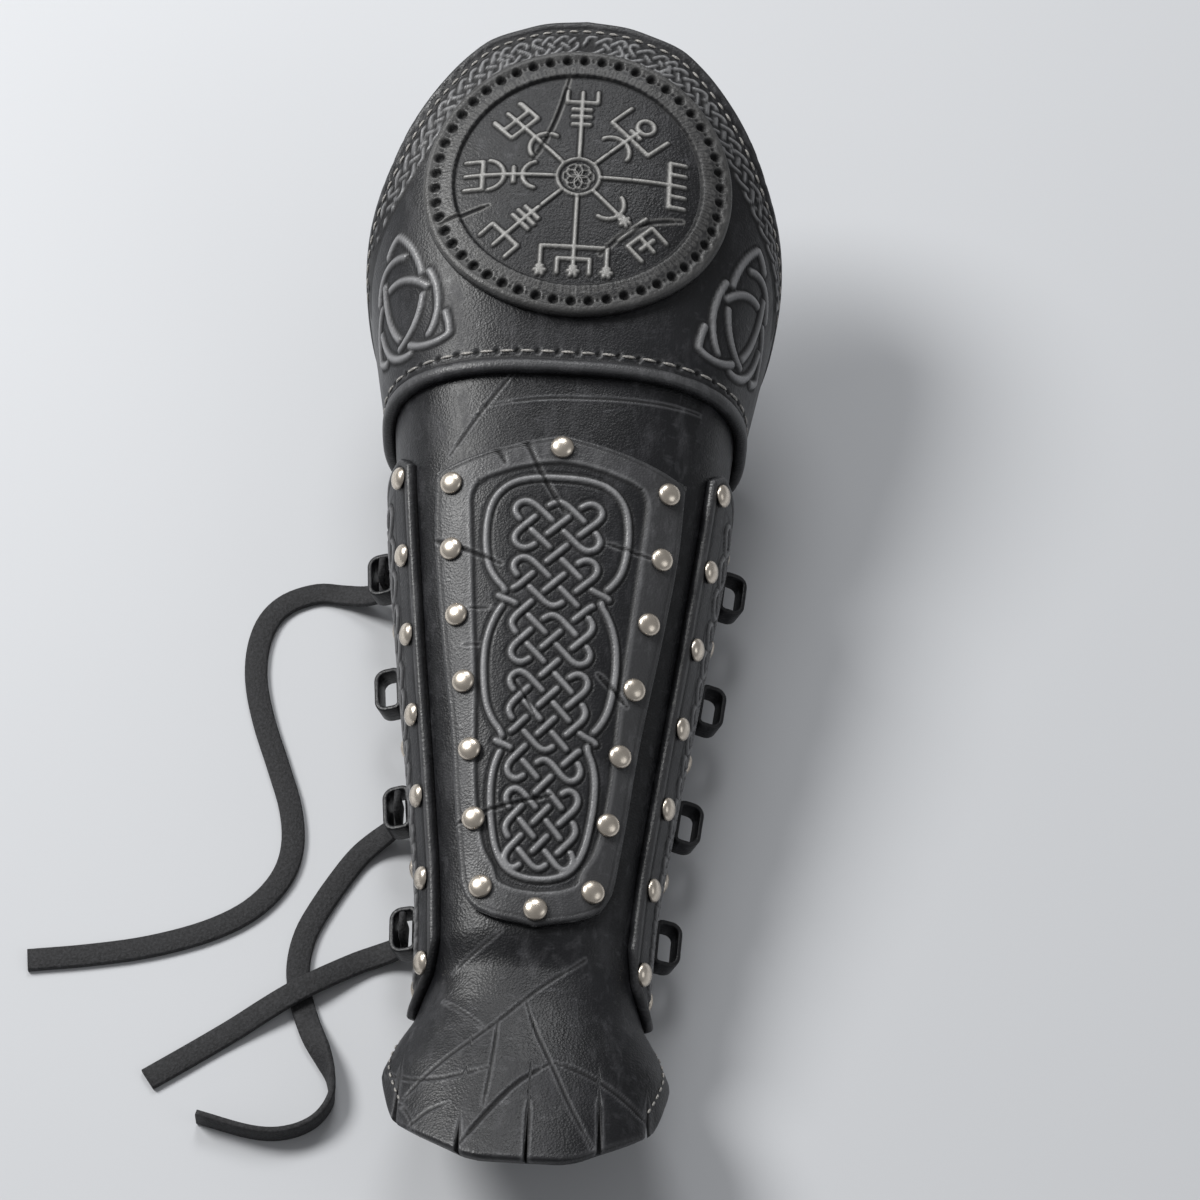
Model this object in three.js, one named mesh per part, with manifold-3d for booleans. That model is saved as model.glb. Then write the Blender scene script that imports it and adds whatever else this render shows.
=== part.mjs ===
// Leather bracer, lying on its laced back: +Y runs up the arm from the hand tongue to the elbow,
// +Z faces away from the arm's front, and the ground is z = 0. Lengths are millimetres.
// Every leather piece is cut as a flat pattern of angle round the arm, place along it and height
// above the sleeve's face, and is then formed round the arm.
import * as THREE from 'three';
import { mergeVertices } from 'three/addons/utils/BufferGeometryUtils.js';
import Module from 'manifold-3d';

const wasm = await Module();
wasm.setup();

// Arm form
const bracerLength = 420;
const elbowHalfWidth = 74;
const elbowHalfDepth = 54.2;
const wristHalfWidth = 35.6;
const wristHalfDepth = 27.1;
const tongueHalfWidth = 48;
const restFlattening = 3;
const backEdgeAngle = 154;
const restAngle = 146;

// Leather and fit
const shellWall = 3;
const cuffWall = 3;
const panelThickness = 3;
const medallionThickness = 3.6;
const fitGap = 0.3;

// Places along the arm, from the tip of the hand tongue
const tongueLength = 57;
const cuffStart = 278;
const cuffBackHeight = 28;
const sleeveTuck = 22;
const medallionCentre = 351;
const frontPanelStart = 84;
const frontPanelLength = 171;
const sidePanelStart = 62;
const sidePanelLength = 194;

// Widths and details
const frontPanelTopWidth = 86;
const frontPanelBottomWidth = 43;
const sidePanelFrontAngle = 61;
const sidePanelRearAngle = 114;
const fieldDepth = 0.8;
const cordHeight = 0.8;
const cordWidth = 2.6;
const cordInset = 4;
const hemWidth = 4.6;
const hemHeight = 1.2;
const hemEndAngle = 118;
const medallionRadius = 53;
const rimWidth = 11;
const recessDepth = 1.4;
const reliefHeight = 0.9;
const hubRadius = 7.6;
const staveWidth = 1.9;
const staveReach = 39;
const medallionHoles = 50;
const medallionHoleRadius = 1.8;
const medallionHoleInset = 4.6;
const edgeParts = 38;
const recessParts = 30;
const hubParts = 12;
const rivetHoleParts = 5;
const medallionHoleParts = 4;

// Rivets, keepers and laces
const rivetHeadRadius = 4;
const rivetHeadHeight = 2.4;
const rivetPostRadius = 1.3;
const rivetHoleRadius = 2.05;
const rivetSeatGap = 0.45;
const rivetShoulder = 0.72;
const sideRivetInset = 5.2;
const keeperLength = 17;
const keeperWidth = 8;
const keeperStandOff = 9.8;
const keeperStrap = 1.7;
const keeperRound = 2.4;
const keeperEdgeInset = 0.6;
const keeperSeatGap = 0.5;
const laceWidth = 8;
const laceThickness = 2.2;
const laceEase = 0.6;

// Bends of the leather round the arm and along its parts, the length over which the sleeve rises
// into the cuff, and how far a cutting block reaches past the piece it cuts
const bendCount = 22;
const tongueBends = 5;
const sleeveBends = 6;
const cuffBends = 6;
const liftRun = 28;
const overrun = 1;

// Sections of the arm form from the tongue tip to the elbow. at is a share of the length; wide and
// deep run from the wrist's size to the elbow's; flare is the share of the tongue's extra width.
const formSections = [
  { at: 0.0, wide: 0.0, deep: 0.2, flare: 0.84, square: 2.3 },
  { at: 0.043, wide: 0.0, deep: 0.144, flare: 1.0, square: 2.3 },
  { at: 0.086, wide: 0.0, deep: 0.089, flare: 1.0, square: 2.3 },
  { at: 0.119, wide: 0.0, deep: 0.037, flare: 0.64, square: 2.35 },
  { at: 0.148, wide: 0.0, deep: 0.007, flare: 0.153, square: 2.4 },
  { at: 0.176, wide: 0.0, deep: 0.0, flare: 0.0, square: 2.4 },
  { at: 0.226, wide: 0.018, deep: 0.037, flare: 0.0, square: 2.5 },
  { at: 0.333, wide: 0.159, deep: 0.199, flare: 0.0, square: 2.6 },
  { at: 0.452, wide: 0.349, deep: 0.384, flare: 0.0, square: 2.7 },
  { at: 0.571, wide: 0.531, deep: 0.568, flare: 0.0, square: 2.7 },
  { at: 0.667, wide: 0.643, deep: 0.697, flare: 0.0, square: 2.7 },
  { at: 0.738, wide: 0.781, deep: 0.812, flare: 0.0, square: 2.7 },
  { at: 0.81, wide: 0.932, deep: 0.9, flare: 0.0, square: 2.7 },
  { at: 0.893, wide: 0.984, deep: 0.952, flare: 0.0, square: 2.7 },
  { at: 1.0, wide: 1.0, deep: 1.0, flare: 0.0, square: 2.7 },
];

// Edge of the hand tongue: angle round the arm, and the share of the tongue's length cut away
const tongueEdge = [
  { angle: 0, cut: 0.0 },
  { angle: 20, cut: 0.01 },
  { angle: 30, cut: 0.035 },
  { angle: 40, cut: 0.093 },
  { angle: 50, cut: 0.16 },
  { angle: 59, cut: 0.24 },
  { angle: 67, cut: 0.35 },
  { angle: 76, cut: 0.6 },
  { angle: 84, cut: 0.8 },
  { angle: 90, cut: 0.93 },
  { angle: 98, cut: 1.0 },
  { angle: 154, cut: 1.0 },
];

// Splits in the tongue's edge: angle, how far in they run as a share of the tongue, and the half
// width of the wedge that cuts each, at a little way outside the edge
const tongueSplits = [
  { angle: -66, run: 0.3, half: 1.5 },
  { angle: -34, run: 0.16, half: 1.1 },
  { angle: 3, run: 0.34, half: 1.0 },
  { angle: 41, run: 0.3, half: 1.1 },
  { angle: 64, run: 0.18, half: 1.4 },
];
const splitOverrun = 5.7;

// Bars across each arm of the stave compass: reach and half length as shares of the arm
const staveBars = [
  { reach: 0.5, half: 0.1 },
  { reach: 0.92, half: 0.2 },
];

// Top edge of the elbow cuff: angle, and share of the dome's rise above the low back edge
const domeEdge = [
  { angle: 0, rise: 1.0 },
  { angle: 14, rise: 0.988 },
  { angle: 24, rise: 0.962 },
  { angle: 33, rise: 0.93 },
  { angle: 40, rise: 0.873 },
  { angle: 49, rise: 0.768 },
  { angle: 56, rise: 0.667 },
  { angle: 64, rise: 0.532 },
  { angle: 76, rise: 0.386 },
  { angle: 88, rise: 0.272 },
  { angle: 105, rise: 0.14 },
  { angle: 125, rise: 0.044 },
  { angle: 140, rise: 0.01 },
  { angle: 154, rise: 0.0 },
];

// Right half of the front panel, from its bottom to its peak: along is a share of its length,
// and top and bottom are the shares of its top and bottom half widths that add up to its width
const frontPanelHalf = [
  { along: 0.0, top: 0.0, bottom: 0.0 },
  { along: 0.017, top: 0.0, bottom: 0.61 },
  { along: 0.047, top: 0.0, bottom: 0.99 },
  { along: 0.082, top: 0.03, bottom: 1.07 },
  { along: 0.17, top: 0.13, bottom: 0.98 },
  { along: 0.4, top: 0.45, bottom: 0.57 },
  { along: 0.63, top: 0.75, bottom: 0.27 },
  { along: 0.8, top: 0.93, bottom: 0.09 },
  { along: 0.93, top: 1.0, bottom: 0.0 },
  { along: 1.0, top: 0.0, bottom: 0.0 },
];

// Right half of the sunk field inside the front panel's border
const frontFieldHalf = [
  { along: 0.067, top: 0.0, bottom: 0.0 },
  { along: 0.072, top: 0.0, bottom: 0.32 },
  { along: 0.095, top: 0.0, bottom: 0.61 },
  { along: 0.16, top: 0.12, bottom: 0.59 },
  { along: 0.5, top: 0.42, bottom: 0.28 },
  { along: 0.87, top: 0.69, bottom: 0.0 },
  { along: 0.9, top: 0.64, bottom: 0.0 },
  { along: 0.94, top: 0.0, bottom: 0.0 },
];

// Side panel outline: across runs from its front edge to its rear edge, along from its lower tip up
const sidePanelOutline = [
  { across: 0.0, along: 0.11 },
  { across: 0.1, along: 0.055 },
  { across: 0.34, along: 0.006 },
  { across: 0.5, along: 0.0 },
  { across: 0.68, along: 0.014 },
  { across: 0.92, along: 0.07 },
  { across: 1.0, along: 0.12 },
  { across: 1.0, along: 0.93 },
  { across: 0.9, along: 0.985 },
  { across: 0.1, along: 1.0 },
  { across: 0.0, along: 0.975 },
];

// Rivets of the front panel's sides, with their inset from its edge
const frontRivetRows = 7;
const frontRivetLow = 0.076;
const frontRivetHigh = 0.9;
const frontRivetInset = 6.4;
const peakRivetInset = 5.2;

// Rivets and keepers of a side panel, as shares of its length
const sideFrontRivets = [0.08, 0.228, 0.374, 0.52, 0.666, 0.812, 0.958];
const sideRearRivets = [0.085, 0.31, 0.545, 0.779, 0.966];
const keeperPlaces = [0.193, 0.427, 0.662, 0.897];

// Routes of the laces: points along the middle of the strap, and stand, 0 where it lies flat and
// 1 where it stands on its edge
const laceRoutes = {
  lace_top: [
    [-62, 25.3, 30, 0], [-61.8, 25.3, 25, 0], [-60.4, 25.3, 20, 0], [-60, 25.3, 16.4, 0],
    [-61.6, 25.5, 12.6, 0], [-65, 26.2, 8.8, 0], [-70, 27.4, 5.2, 0], [-77, 29.2, 2.2, 0],
    [-86, 29.8, 1.2, 0], [-96, 25.4, 1.2, 0], [-102.4, 17.6, 1.2, 0],
    [-105.2, 6, 1.2, 0], [-104.6, -8, 1.2, 0], [-100.4, -24, 1.2, 0], [-94, -41, 1.2, 0],
    [-88, -58, 1.2, 0], [-86, -73, 1.2, 0], [-89, -86, 1.2, 0], [-98, -98, 1.2, 0],
    [-112, -107, 1.2, 0], [-131, -114, 1.2, 0], [-151, -118.4, 1.2, 0], [-171.6, -121.6, 1.2, 0],
  ],
  lace_middle: [
    [-49.9, -66.1, 26.4, 0], [-49.7, -66.1, 21.5, 0], [-49.1, -66.1, 16.7, 0],
    [-49, -66.1, 12.9, 0], [-50.2, -66.4, 9.2, 0], [-53, -67.6, 5.6, 0],
    [-57.6, -70.4, 2.8, 0], [-62.4, -75, 1.5, 0], [-67, -82, 1.2, 0], [-73.4, -94, 1.2, 0],
    [-78.4, -106, 1.2, 0], [-80, -118, 1.2, 0], [-78.4, -129, 1.2, 0], [-75.4, -138, 1.4, 0],
    [-72.4, -145, 2.7, 0.25], [-68.6, -152.4, 4, 0.6], [-65.4, -160, 4.3, 0.9],
    [-64.8, -168, 4.2, 1], [-69.6, -176, 4.2, 1], [-78.6, -180.6, 4.2, 1], [-90, -181, 4.2, 1],
    [-108.4, -176.6, 4.2, 1],
  ],
  lace_bottom: [
    [-44.9, -111.1, 24.4, 0], [-44.7, -111.1, 19.4, 0], [-44.1, -111.1, 14.6, 0],
    [-44, -111.1, 10.8, 0], [-45.2, -111.4, 7.2, 0], [-48.2, -112, 4.2, 0],
    [-53, -113.4, 2.4, 0], [-59.4, -116.2, 2.2, 0],
    [-67, -120.8, 3.1, 0], [-74.6, -125.8, 4.1, 0],
    [-82, -130.8, 4.1, 0], [-90, -136.4, 3, 0], [-98.6, -142.8, 1.8, 0], [-108, -149.6, 1.2, 0],
    [-117, -156.2, 1.2, 0], [-126.4, -163, 1.2, 0],
  ],
};

const leather = { color: 0x2a2b2f, roughness: 0.58, metalness: 0 };
const carvedLeather = { color: 0x303136, roughness: 0.52, metalness: 0 };
const laceLeather = { color: 0x1d1d1f, roughness: 0.88, metalness: 0 };
const nickel = { color: 0xd6cbbb, roughness: 0.28, metalness: 1 };

const radians = Math.PI / 180;
const sleeveLift = cuffWall + fitGap;
const halfLength = bracerLength / 2;
const onSleeve = fitGap;
const onPanel = fitGap + panelThickness;

function evenly(from, to, count) {
  return Array.from({ length: count + 1 }, (unused, i) => from + ((to - from) * i) / count);
}

// Smooth curve through a table's column that never overshoots its rows
function smoothColumn(rows, place, column) {
  const x = rows.map((row) => row[place]);
  const y = rows.map((row) => row[column]);
  const step = x.slice(1).map((value, i) => value - x[i]);
  const slope = step.map((value, i) => (y[i + 1] - y[i]) / value);
  const tangent = y.map((value, i) => {
    if (i === 0) return slope[0];
    if (i === y.length - 1) return slope[i - 1];
    if (slope[i - 1] * slope[i] <= 0) return 0;
    const before = 2 * step[i] + step[i - 1];
    const after = step[i] + 2 * step[i - 1];
    return (before + after) / (before / slope[i - 1] + after / slope[i]);
  });
  return (at) => {
    let i = 0;
    while (i < step.length - 1 && at > x[i + 1]) i += 1;
    const s = Math.min(Math.max((at - x[i]) / step[i], 0), 1);
    const rise = s * s * (3 - 2 * s);
    const lead = s * (1 - s) * (1 - s) * step[i] * tangent[i];
    const trail = s * s * (s - 1) * step[i] * tangent[i + 1];
    return y[i] + (y[i + 1] - y[i]) * rise + lead + trail;
  };
}

const wideAt = smoothColumn(formSections, 'at', 'wide');
const deepAt = smoothColumn(formSections, 'at', 'deep');
const flareAt = smoothColumn(formSections, 'at', 'flare');
const squareAt = smoothColumn(formSections, 'at', 'square');
const tongueCutAt = smoothColumn(tongueEdge, 'angle', 'cut');
const domeRiseAt = smoothColumn(domeEdge, 'angle', 'rise');

// The wrist's back edge comes down to the ground; further up the sleeve lies inside the cuff
function liftAt(along) {
  const share = Math.min(Math.max((along - tongueLength) / liftRun * 2 - 1, 0), 1);
  return sleeveLift * share * share * (3 - 2 * share);
}

// Point on the sleeve's outer face: a rounded section, flattened where it rests
function facePoint(angle, along) {
  const at = along / bracerLength;
  const flare = flareAt(at) * (tongueHalfWidth - wristHalfWidth);
  const halfWidth = wristHalfWidth + wideAt(at) * (elbowHalfWidth - wristHalfWidth) + flare;
  const halfDepth = wristHalfDepth + deepAt(at) * (elbowHalfDepth - wristHalfDepth);
  const power = squareAt(at);
  const across = Math.sin(angle * radians);
  const up = Math.cos(angle * radians);
  const sum = (Math.abs(up) / halfDepth) ** power + (Math.abs(across) / halfWidth) ** power;
  const reach = sum ** (-1 / power);
  const lift = liftAt(along);
  const height = lift + halfDepth - restFlattening + reach * up;
  return new THREE.Vector3(reach * across, along - halfLength, Math.max(height, lift));
}

// Lines on which all the leather bends, so that layers with a small gap never cut each other
const angleLines = [-backEdgeAngle, ...evenly(-restAngle, restAngle, bendCount), backEdgeAngle];
const placeLines = [
  ...evenly(0, tongueLength, tongueBends),
  tongueLength + liftRun / 3,
  tongueLength + (liftRun * 2) / 3,
  ...evenly(tongueLength + liftRun, cuffStart, sleeveBends),
  ...evenly(cuffStart, bracerLength, cuffBends).slice(1),
];

// Where the lines cross: the point of the sleeve's face and the direction out of it
const crossings = placeLines.map((along) => angleLines.map((angle) => {
  const turn = 0.2;
  const step = 0.4;
  const around = facePoint(angle + turn, along).sub(facePoint(angle - turn, along));
  const onward = facePoint(angle, along + step).sub(facePoint(angle, along - step));
  return { face: facePoint(angle, along), out: around.cross(onward).normalize() };
}));

function cellOf(lines, value) {
  let i = 0;
  while (i < lines.length - 2 && value > lines[i + 1]) i += 1;
  return { i, share: (value - lines[i]) / (lines[i + 1] - lines[i]) };
}

// Point of the folded leather at a height above the sleeve's face
function formPoint(angle, along, height) {
  const column = cellOf(angleLines, angle);
  const row = cellOf(placeLines, along);
  const point = new THREE.Vector3();
  for (const [down, right] of [[0, 0], [0, 1], [1, 0], [1, 1]]) {
    const { face, out } = crossings[row.i + down][column.i + right];
    const weight = (down ? row.share : 1 - row.share) * (right ? column.share : 1 - column.share);
    point.addScaledVector(face, weight).addScaledVector(out, weight * height);
  }
  return point;
}

// Angle whose distance round the sleeve from its front line is the one asked for
function angleAt(along, distance) {
  const turn = 1.5;
  let travelled = 0;
  let angle = 0;
  let last = facePoint(0, along);
  while (angle < 180) {
    const next = facePoint(angle + turn, along);
    const gone = next.distanceTo(last);
    if (travelled + gone >= Math.abs(distance)) break;
    travelled += gone;
    angle += turn;
    last = next;
  }
  const rest = facePoint(angle + turn, along).distanceTo(last);
  const share = Math.min((Math.abs(distance) - travelled) / rest, 1);
  return Math.sign(distance) * (angle + turn * share);
}

function distanceAt(along, angle) {
  const parts = 40;
  let sum = 0;
  for (let i = 0; i < parts; i += 1) {
    const from = facePoint((angle * i) / parts, along);
    sum += facePoint((angle * (i + 1)) / parts, along).distanceTo(from);
  }
  return sum;
}

// Solid of a closed geometry. Each pair of triangles is marked as a face of its own, so that flat
// neighbours keep the line between them.
function solidOf(geometry) {
  geometry.deleteAttribute('normal');
  geometry.deleteAttribute('uv');
  const merged = mergeVertices(geometry, 1e-5);
  const vertProperties = new Float32Array(merged.attributes.position.array);
  const triVerts = new Uint32Array(merged.index.array);
  const faceID = new Uint32Array(triVerts.length / 3).map((unused, i) => Math.floor(i / 2));
  return new wasm.Manifold(new wasm.Mesh({ numProp: 3, vertProperties, triVerts, faceID }));
}

// Flat sheet over a range of angles and places, divided at the bend lines
function sheet(angles, places, low, high) {
  const covering = (lines, [from, to]) =>
    lines.filter((line, i) => (lines[i + 1] ?? line) > from && (lines[i - 1] ?? line) < to);
  const columns = covering(angleLines, angles);
  const rows = covering(placeLines, places);
  const box = new THREE.BoxGeometry(1, 1, 1, columns.length - 1, rows.length - 1, 1);
  const position = box.attributes.position;
  for (let i = 0; i < position.count; i += 1) {
    const column = Math.round((position.getX(i) + 0.5) * (columns.length - 1));
    const row = Math.round((position.getY(i) + 0.5) * (rows.length - 1));
    position.setXYZ(i, columns[column], rows[row], position.getZ(i) > 0 ? high : low);
  }
  return solidOf(box);
}

// Straight-sided block over a flat outline of [angle, along] corners
function block(corners, low, high) {
  const shape = new THREE.Shape(corners.map(([angle, along]) => new THREE.Vector2(angle, along)));
  const geometry = new THREE.ExtrudeGeometry(shape, { depth: high - low, bevelEnabled: false });
  geometry.translate(0, 0, low);
  return solidOf(geometry);
}

// Corners of a round hole or disc whose middle lies at a distance from the front line
function roundCorners(distance, along, radius, sides) {
  return evenly(0, 360, sides).slice(0, -1).map((turn) => {
    const x = distance + radius * Math.cos(turn * radians);
    const y = along + radius * Math.sin(turn * radians);
    return [angleAt(y, x), y];
  });
}

// Corners given as [distance from the front line, along]
function patternCorners(points) {
  return points.map(([distance, along]) => [angleAt(along, distance), along]);
}

function meshOf(geometry, look, name) {
  geometry.computeVertexNormals();
  const mesh = new THREE.Mesh(geometry, new THREE.MeshStandardMaterial(look));
  mesh.name = name;
  return mesh;
}

// Takes the finished flat piece and forms it round the arm
function formed(solid, look, name) {
  const flat = solid.getMesh();
  const places = new Float32Array(flat.numVert * 3);
  for (let i = 0; i < flat.numVert; i += 1) {
    const [angle, along, height] = flat.vertProperties.subarray(i * flat.numProp, i * flat.numProp + 3);
    formPoint(angle, along, height).toArray(places, i * 3);
  }
  const geometry = new THREE.BufferGeometry();
  geometry.setAttribute('position', new THREE.BufferAttribute(places, 3));
  geometry.setIndex(new THREE.BufferAttribute(new Uint32Array(flat.triVerts), 1));
  return meshOf(geometry, look, name);
}

function withHoles(solid, places, low, high) {
  let result = solid;
  for (const { angle, along } of places) {
    const distance = Math.sign(angle) * distanceAt(along, Math.abs(angle));
    const hole = block(roundCorners(distance, along, rivetHoleRadius, rivetHoleParts), low, high);
    result = result.subtract(hole);
  }
  return result;
}

function frontPanelHalfWidth(row) {
  return (row.top * frontPanelTopWidth + row.bottom * frontPanelBottomWidth) / 2;
}

// Closed outline of a table of the front panel, drawn in towards its middle by inset
function frontOutline(rows, inset = 0) {
  const middle = 0.5;
  const shrink = 1 - (2 * inset) / frontPanelLength;
  const right = rows.map((row) => [
    Math.max(frontPanelHalfWidth(row) - inset, 0),
    frontPanelStart + (middle + (row.along - middle) * shrink) * frontPanelLength,
  ]);
  const left = right.slice(1, -1).reverse().map(([distance, along]) => [-distance, along]);
  return [...right, ...left];
}

// Every rivet of the panels, as places on the form
function frontRivets() {
  const widthRows = frontPanelHalf.map((row) => ({ along: row.along, half: frontPanelHalfWidth(row) }));
  const halfAt = smoothColumn(widthRows.slice(1, -1), 'along', 'half');
  const rivets = [];
  const places = evenly(frontRivetLow, frontRivetHigh, frontRivetRows - 1);
  for (const [i, share] of places.entries()) {
    const along = frontPanelStart + share * frontPanelLength;
    const angle = angleAt(along, halfAt(share) - frontRivetInset);
    rivets.push({ angle: -angle, along, name: `rivet_front_left_${i + 1}` });
    rivets.push({ angle, along, name: `rivet_front_right_${i + 1}` });
  }
  rivets.push({ angle: 0, along: frontPanelStart + peakRivetInset, name: 'rivet_front_bottom' });
  const peak = frontPanelStart + frontPanelLength - peakRivetInset;
  rivets.push({ angle: 0, along: peak, name: 'rivet_front_top' });
  return rivets;
}

function sideColumn(along, inset, front) {
  const edge = front ? sidePanelFrontAngle : sidePanelRearAngle;
  const distance = distanceAt(along, edge) + (front ? inset : -inset);
  return angleAt(along, distance);
}

function sideRivets(side, sign) {
  const column = (shares, front, label) => shares.map((share, i) => {
    const along = sidePanelStart + share * sidePanelLength;
    const angle = sign * sideColumn(along, sideRivetInset, front);
    return { angle, along, name: `rivet_${side}_${label}_${i + 1}` };
  });
  return [...column(sideFrontRivets, true, 'front'), ...column(sideRearRivets, false, 'rear')];
}

const panelRivets = frontRivets();
const leftRivets = sideRivets('left', -1);
const rightRivets = sideRivets('right', 1);
const allRivets = [...panelRivets, ...leftRivets, ...rightRivets];

// Sheet cut to an outline of [angle, along] corners
function cutSheet(corners, low, high) {
  const range = (axis) => {
    const values = corners.map((corner) => corner[axis]);
    return [Math.min(...values), Math.max(...values)];
  };
  return sheet(range(0), range(1), low, high).intersect(block(corners, low - overrun, high + overrun));
}

// The open-backed sleeve with its hand tongue
function makeShell() {
  const top = cuffStart + sleeveTuck;
  const startAt = (angle) => tongueCutAt(Math.abs(angle)) * tongueLength;
  const edge = evenly(-backEdgeAngle, backEdgeAngle, edgeParts).map((angle) => [angle, startAt(angle)]);
  let shell = cutSheet([...edge, [backEdgeAngle, top], [-backEdgeAngle, top]], -shellWall, 0);
  for (const split of tongueSplits) {
    const start = startAt(split.angle);
    const middle = distanceAt(start, Math.abs(split.angle)) * Math.sign(split.angle);
    const outside = start - splitOverrun;
    const wedge = [[middle - split.half, outside], [middle + split.half, outside]];
    const tip = [middle, start + split.run * tongueLength];
    shell = shell.subtract(block(patternCorners([...wedge, tip]), -shellWall - overrun, overrun));
  }
  shell = withHoles(shell, allRivets, -shellWall - overrun, overrun);
  return formed(shell, leather, 'shell');
}

// The flared cuff with its domed elbow guard and raised hem
function makeElbowCuff() {
  const back = cuffStart + cuffBackHeight;
  const topAt = (angle) => back + domeRiseAt(Math.abs(angle)) * (bracerLength - back);
  const edge = evenly(backEdgeAngle, -backEdgeAngle, edgeParts).map((angle) => [angle, topAt(angle)]);
  const corners = [[-backEdgeAngle, cuffStart], [backEdgeAngle, cuffStart], ...edge];
  const cuff = cutSheet(corners, onSleeve, onSleeve + cuffWall);
  const hemTop = cuffStart + hemWidth;
  const hemCorners = [
    [-hemEndAngle, cuffStart],
    [hemEndAngle, cuffStart],
    [hemEndAngle, hemTop],
    [-hemEndAngle, hemTop],
  ];
  const hem = cutSheet(hemCorners, onSleeve + cuffWall / 2, onSleeve + cuffWall + hemHeight);
  return formed(cuff.add(hem), carvedLeather, 'elbow_cuff');
}

// Strip of even width between two points of the flat pattern
function bar(from, to, width) {
  const along = new THREE.Vector2(to[0] - from[0], to[1] - from[1]);
  const side = new THREE.Vector2(-along.y, along.x).setLength(width / 2);
  return [
    [from[0] + side.x, from[1] + side.y],
    [from[0] - side.x, from[1] - side.y],
    [to[0] - side.x, to[1] - side.y],
    [to[0] + side.x, to[1] + side.y],
  ];
}

// The round medallion: a raised rim with punched holes and an eight-armed stave compass
function makeMedallion() {
  const low = onSleeve + cuffWall + fitGap;
  const high = low + medallionThickness;
  const floor = high - recessDepth;
  const circle = (radius, sides) => roundCorners(0, medallionCentre, radius, sides);
  let medallion = cutSheet(circle(medallionRadius, edgeParts), low, high);
  let recess = cutSheet(circle(medallionRadius - rimWidth, recessParts), floor, high + overrun);
  const relief = (corners) => block(corners, floor - overrun, floor + reliefHeight);
  let raised = relief(circle(hubRadius, hubParts));
  for (let i = 0; i < 8; i += 1) {
    const turn = i * 45 * radians;
    const out = [Math.sin(turn), Math.cos(turn)];
    const place = (reach, across = 0) => [
      out[0] * reach + out[1] * across,
      medallionCentre + out[1] * reach - out[0] * across,
    ];
    const arm = bar(place(hubRadius - overrun), place(staveReach), staveWidth);
    raised = raised.add(relief(patternCorners(arm)));
    for (const { reach, half } of staveBars) {
      const cross = bar(
        place(staveReach * reach, -staveReach * half),
        place(staveReach * reach, staveReach * half),
        staveWidth,
      );
      raised = raised.add(relief(patternCorners(cross)));
    }
  }
  recess = recess.subtract(raised);
  medallion = medallion.subtract(recess);
  const holeRing = medallionRadius - medallionHoleInset;
  for (const turn of evenly(0, 360, medallionHoles).slice(0, -1)) {
    const x = holeRing * Math.cos(turn * radians);
    const y = medallionCentre + holeRing * Math.sin(turn * radians);
    const corners = roundCorners(x, y, medallionHoleRadius, medallionHoleParts);
    medallion = medallion.subtract(block(corners, low - overrun, high + overrun));
  }
  return formed(medallion, carvedLeather, 'medallion');
}

// The long front panel: a riveted border round a sunk field with a raised cord
function makeFrontPanel() {
  const high = onPanel;
  const outline = frontOutline(frontPanelHalf);
  const cut = (points, low, top) => block(patternCorners(points), low, top);
  let panel = cutSheet(patternCorners(outline), onSleeve, high);
  const field = frontOutline(frontFieldHalf);
  const cordOuter = frontOutline(frontFieldHalf, cordInset);
  const cordInner = frontOutline(frontFieldHalf, cordInset + cordWidth);
  const floor = high - fieldDepth;
  const ring = cut(cordOuter, floor - overrun, floor + cordHeight);
  const cord = ring.subtract(cut(cordInner, floor - 2 * overrun, high));
  const recess = cutSheet(patternCorners(field), floor, high + overrun);
  panel = panel.subtract(recess.subtract(cord));
  panel = withHoles(panel, panelRivets, onSleeve - overrun, high + overrun);
  return formed(panel, carvedLeather, 'front_panel');
}

function makeSidePanel(side, sign, rivets) {
  const corners = sidePanelOutline.map(({ across, along }) => [
    sign * (sidePanelFrontAngle + across * (sidePanelRearAngle - sidePanelFrontAngle)),
    sidePanelStart + along * sidePanelLength,
  ]);
  let panel = cutSheet(corners, onSleeve, onPanel);
  panel = withHoles(panel, rivets, onSleeve - overrun, onPanel + overrun);
  return formed(panel, carvedLeather, `side_panel_${side}`);
}

// Sets a piece made round its own Z axis straight out of the leather, with its Y up the arm
function seat(mesh, angle, along, height) {
  const out = formPoint(angle, along, height).sub(formPoint(angle, along, 0)).normalize();
  const around = facePoint(angle + 1, along).sub(facePoint(angle - 1, along));
  const onward = new THREE.Vector3().crossVectors(out, around).normalize();
  around.crossVectors(onward, out);
  mesh.quaternion.setFromRotationMatrix(new THREE.Matrix4().makeBasis(around, onward, out));
  mesh.position.copy(formPoint(angle, along, height));
  return mesh;
}

function makeRivet({ angle, along, name }) {
  const inside = -(rivetSeatGap + onPanel + shellWall);
  const profile = [
    [0, inside],
    [rivetPostRadius, inside],
    [rivetPostRadius, 0],
    [rivetHeadRadius, 0],
    [rivetHeadRadius * rivetShoulder, rivetHeadHeight * rivetShoulder],
    [0, rivetHeadHeight],
  ].map(([radius, height]) => new THREE.Vector2(radius, height));
  const geometry = new THREE.LatheGeometry(profile, 6).rotateX(Math.PI / 2);
  const rivet = meshOf(closed(geometry), nickel, name);
  return seat(rivet, angle, along, onPanel + rivetSeatGap);
}

// Merges a geometry's shared corners and drops the flat triangles at a turned piece's poles
function closed(geometry) {
  geometry.deleteAttribute('normal');
  geometry.deleteAttribute('uv');
  const merged = mergeVertices(geometry, 1e-4);
  const index = merged.index.array;
  const kept = [];
  for (let i = 0; i < index.length; i += 3) {
    const [a, b, c] = index.subarray(i, i + 3);
    if (a !== b && b !== c && c !== a) kept.push(a, b, c);
  }
  merged.setIndex(kept);
  return merged;
}

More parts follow.
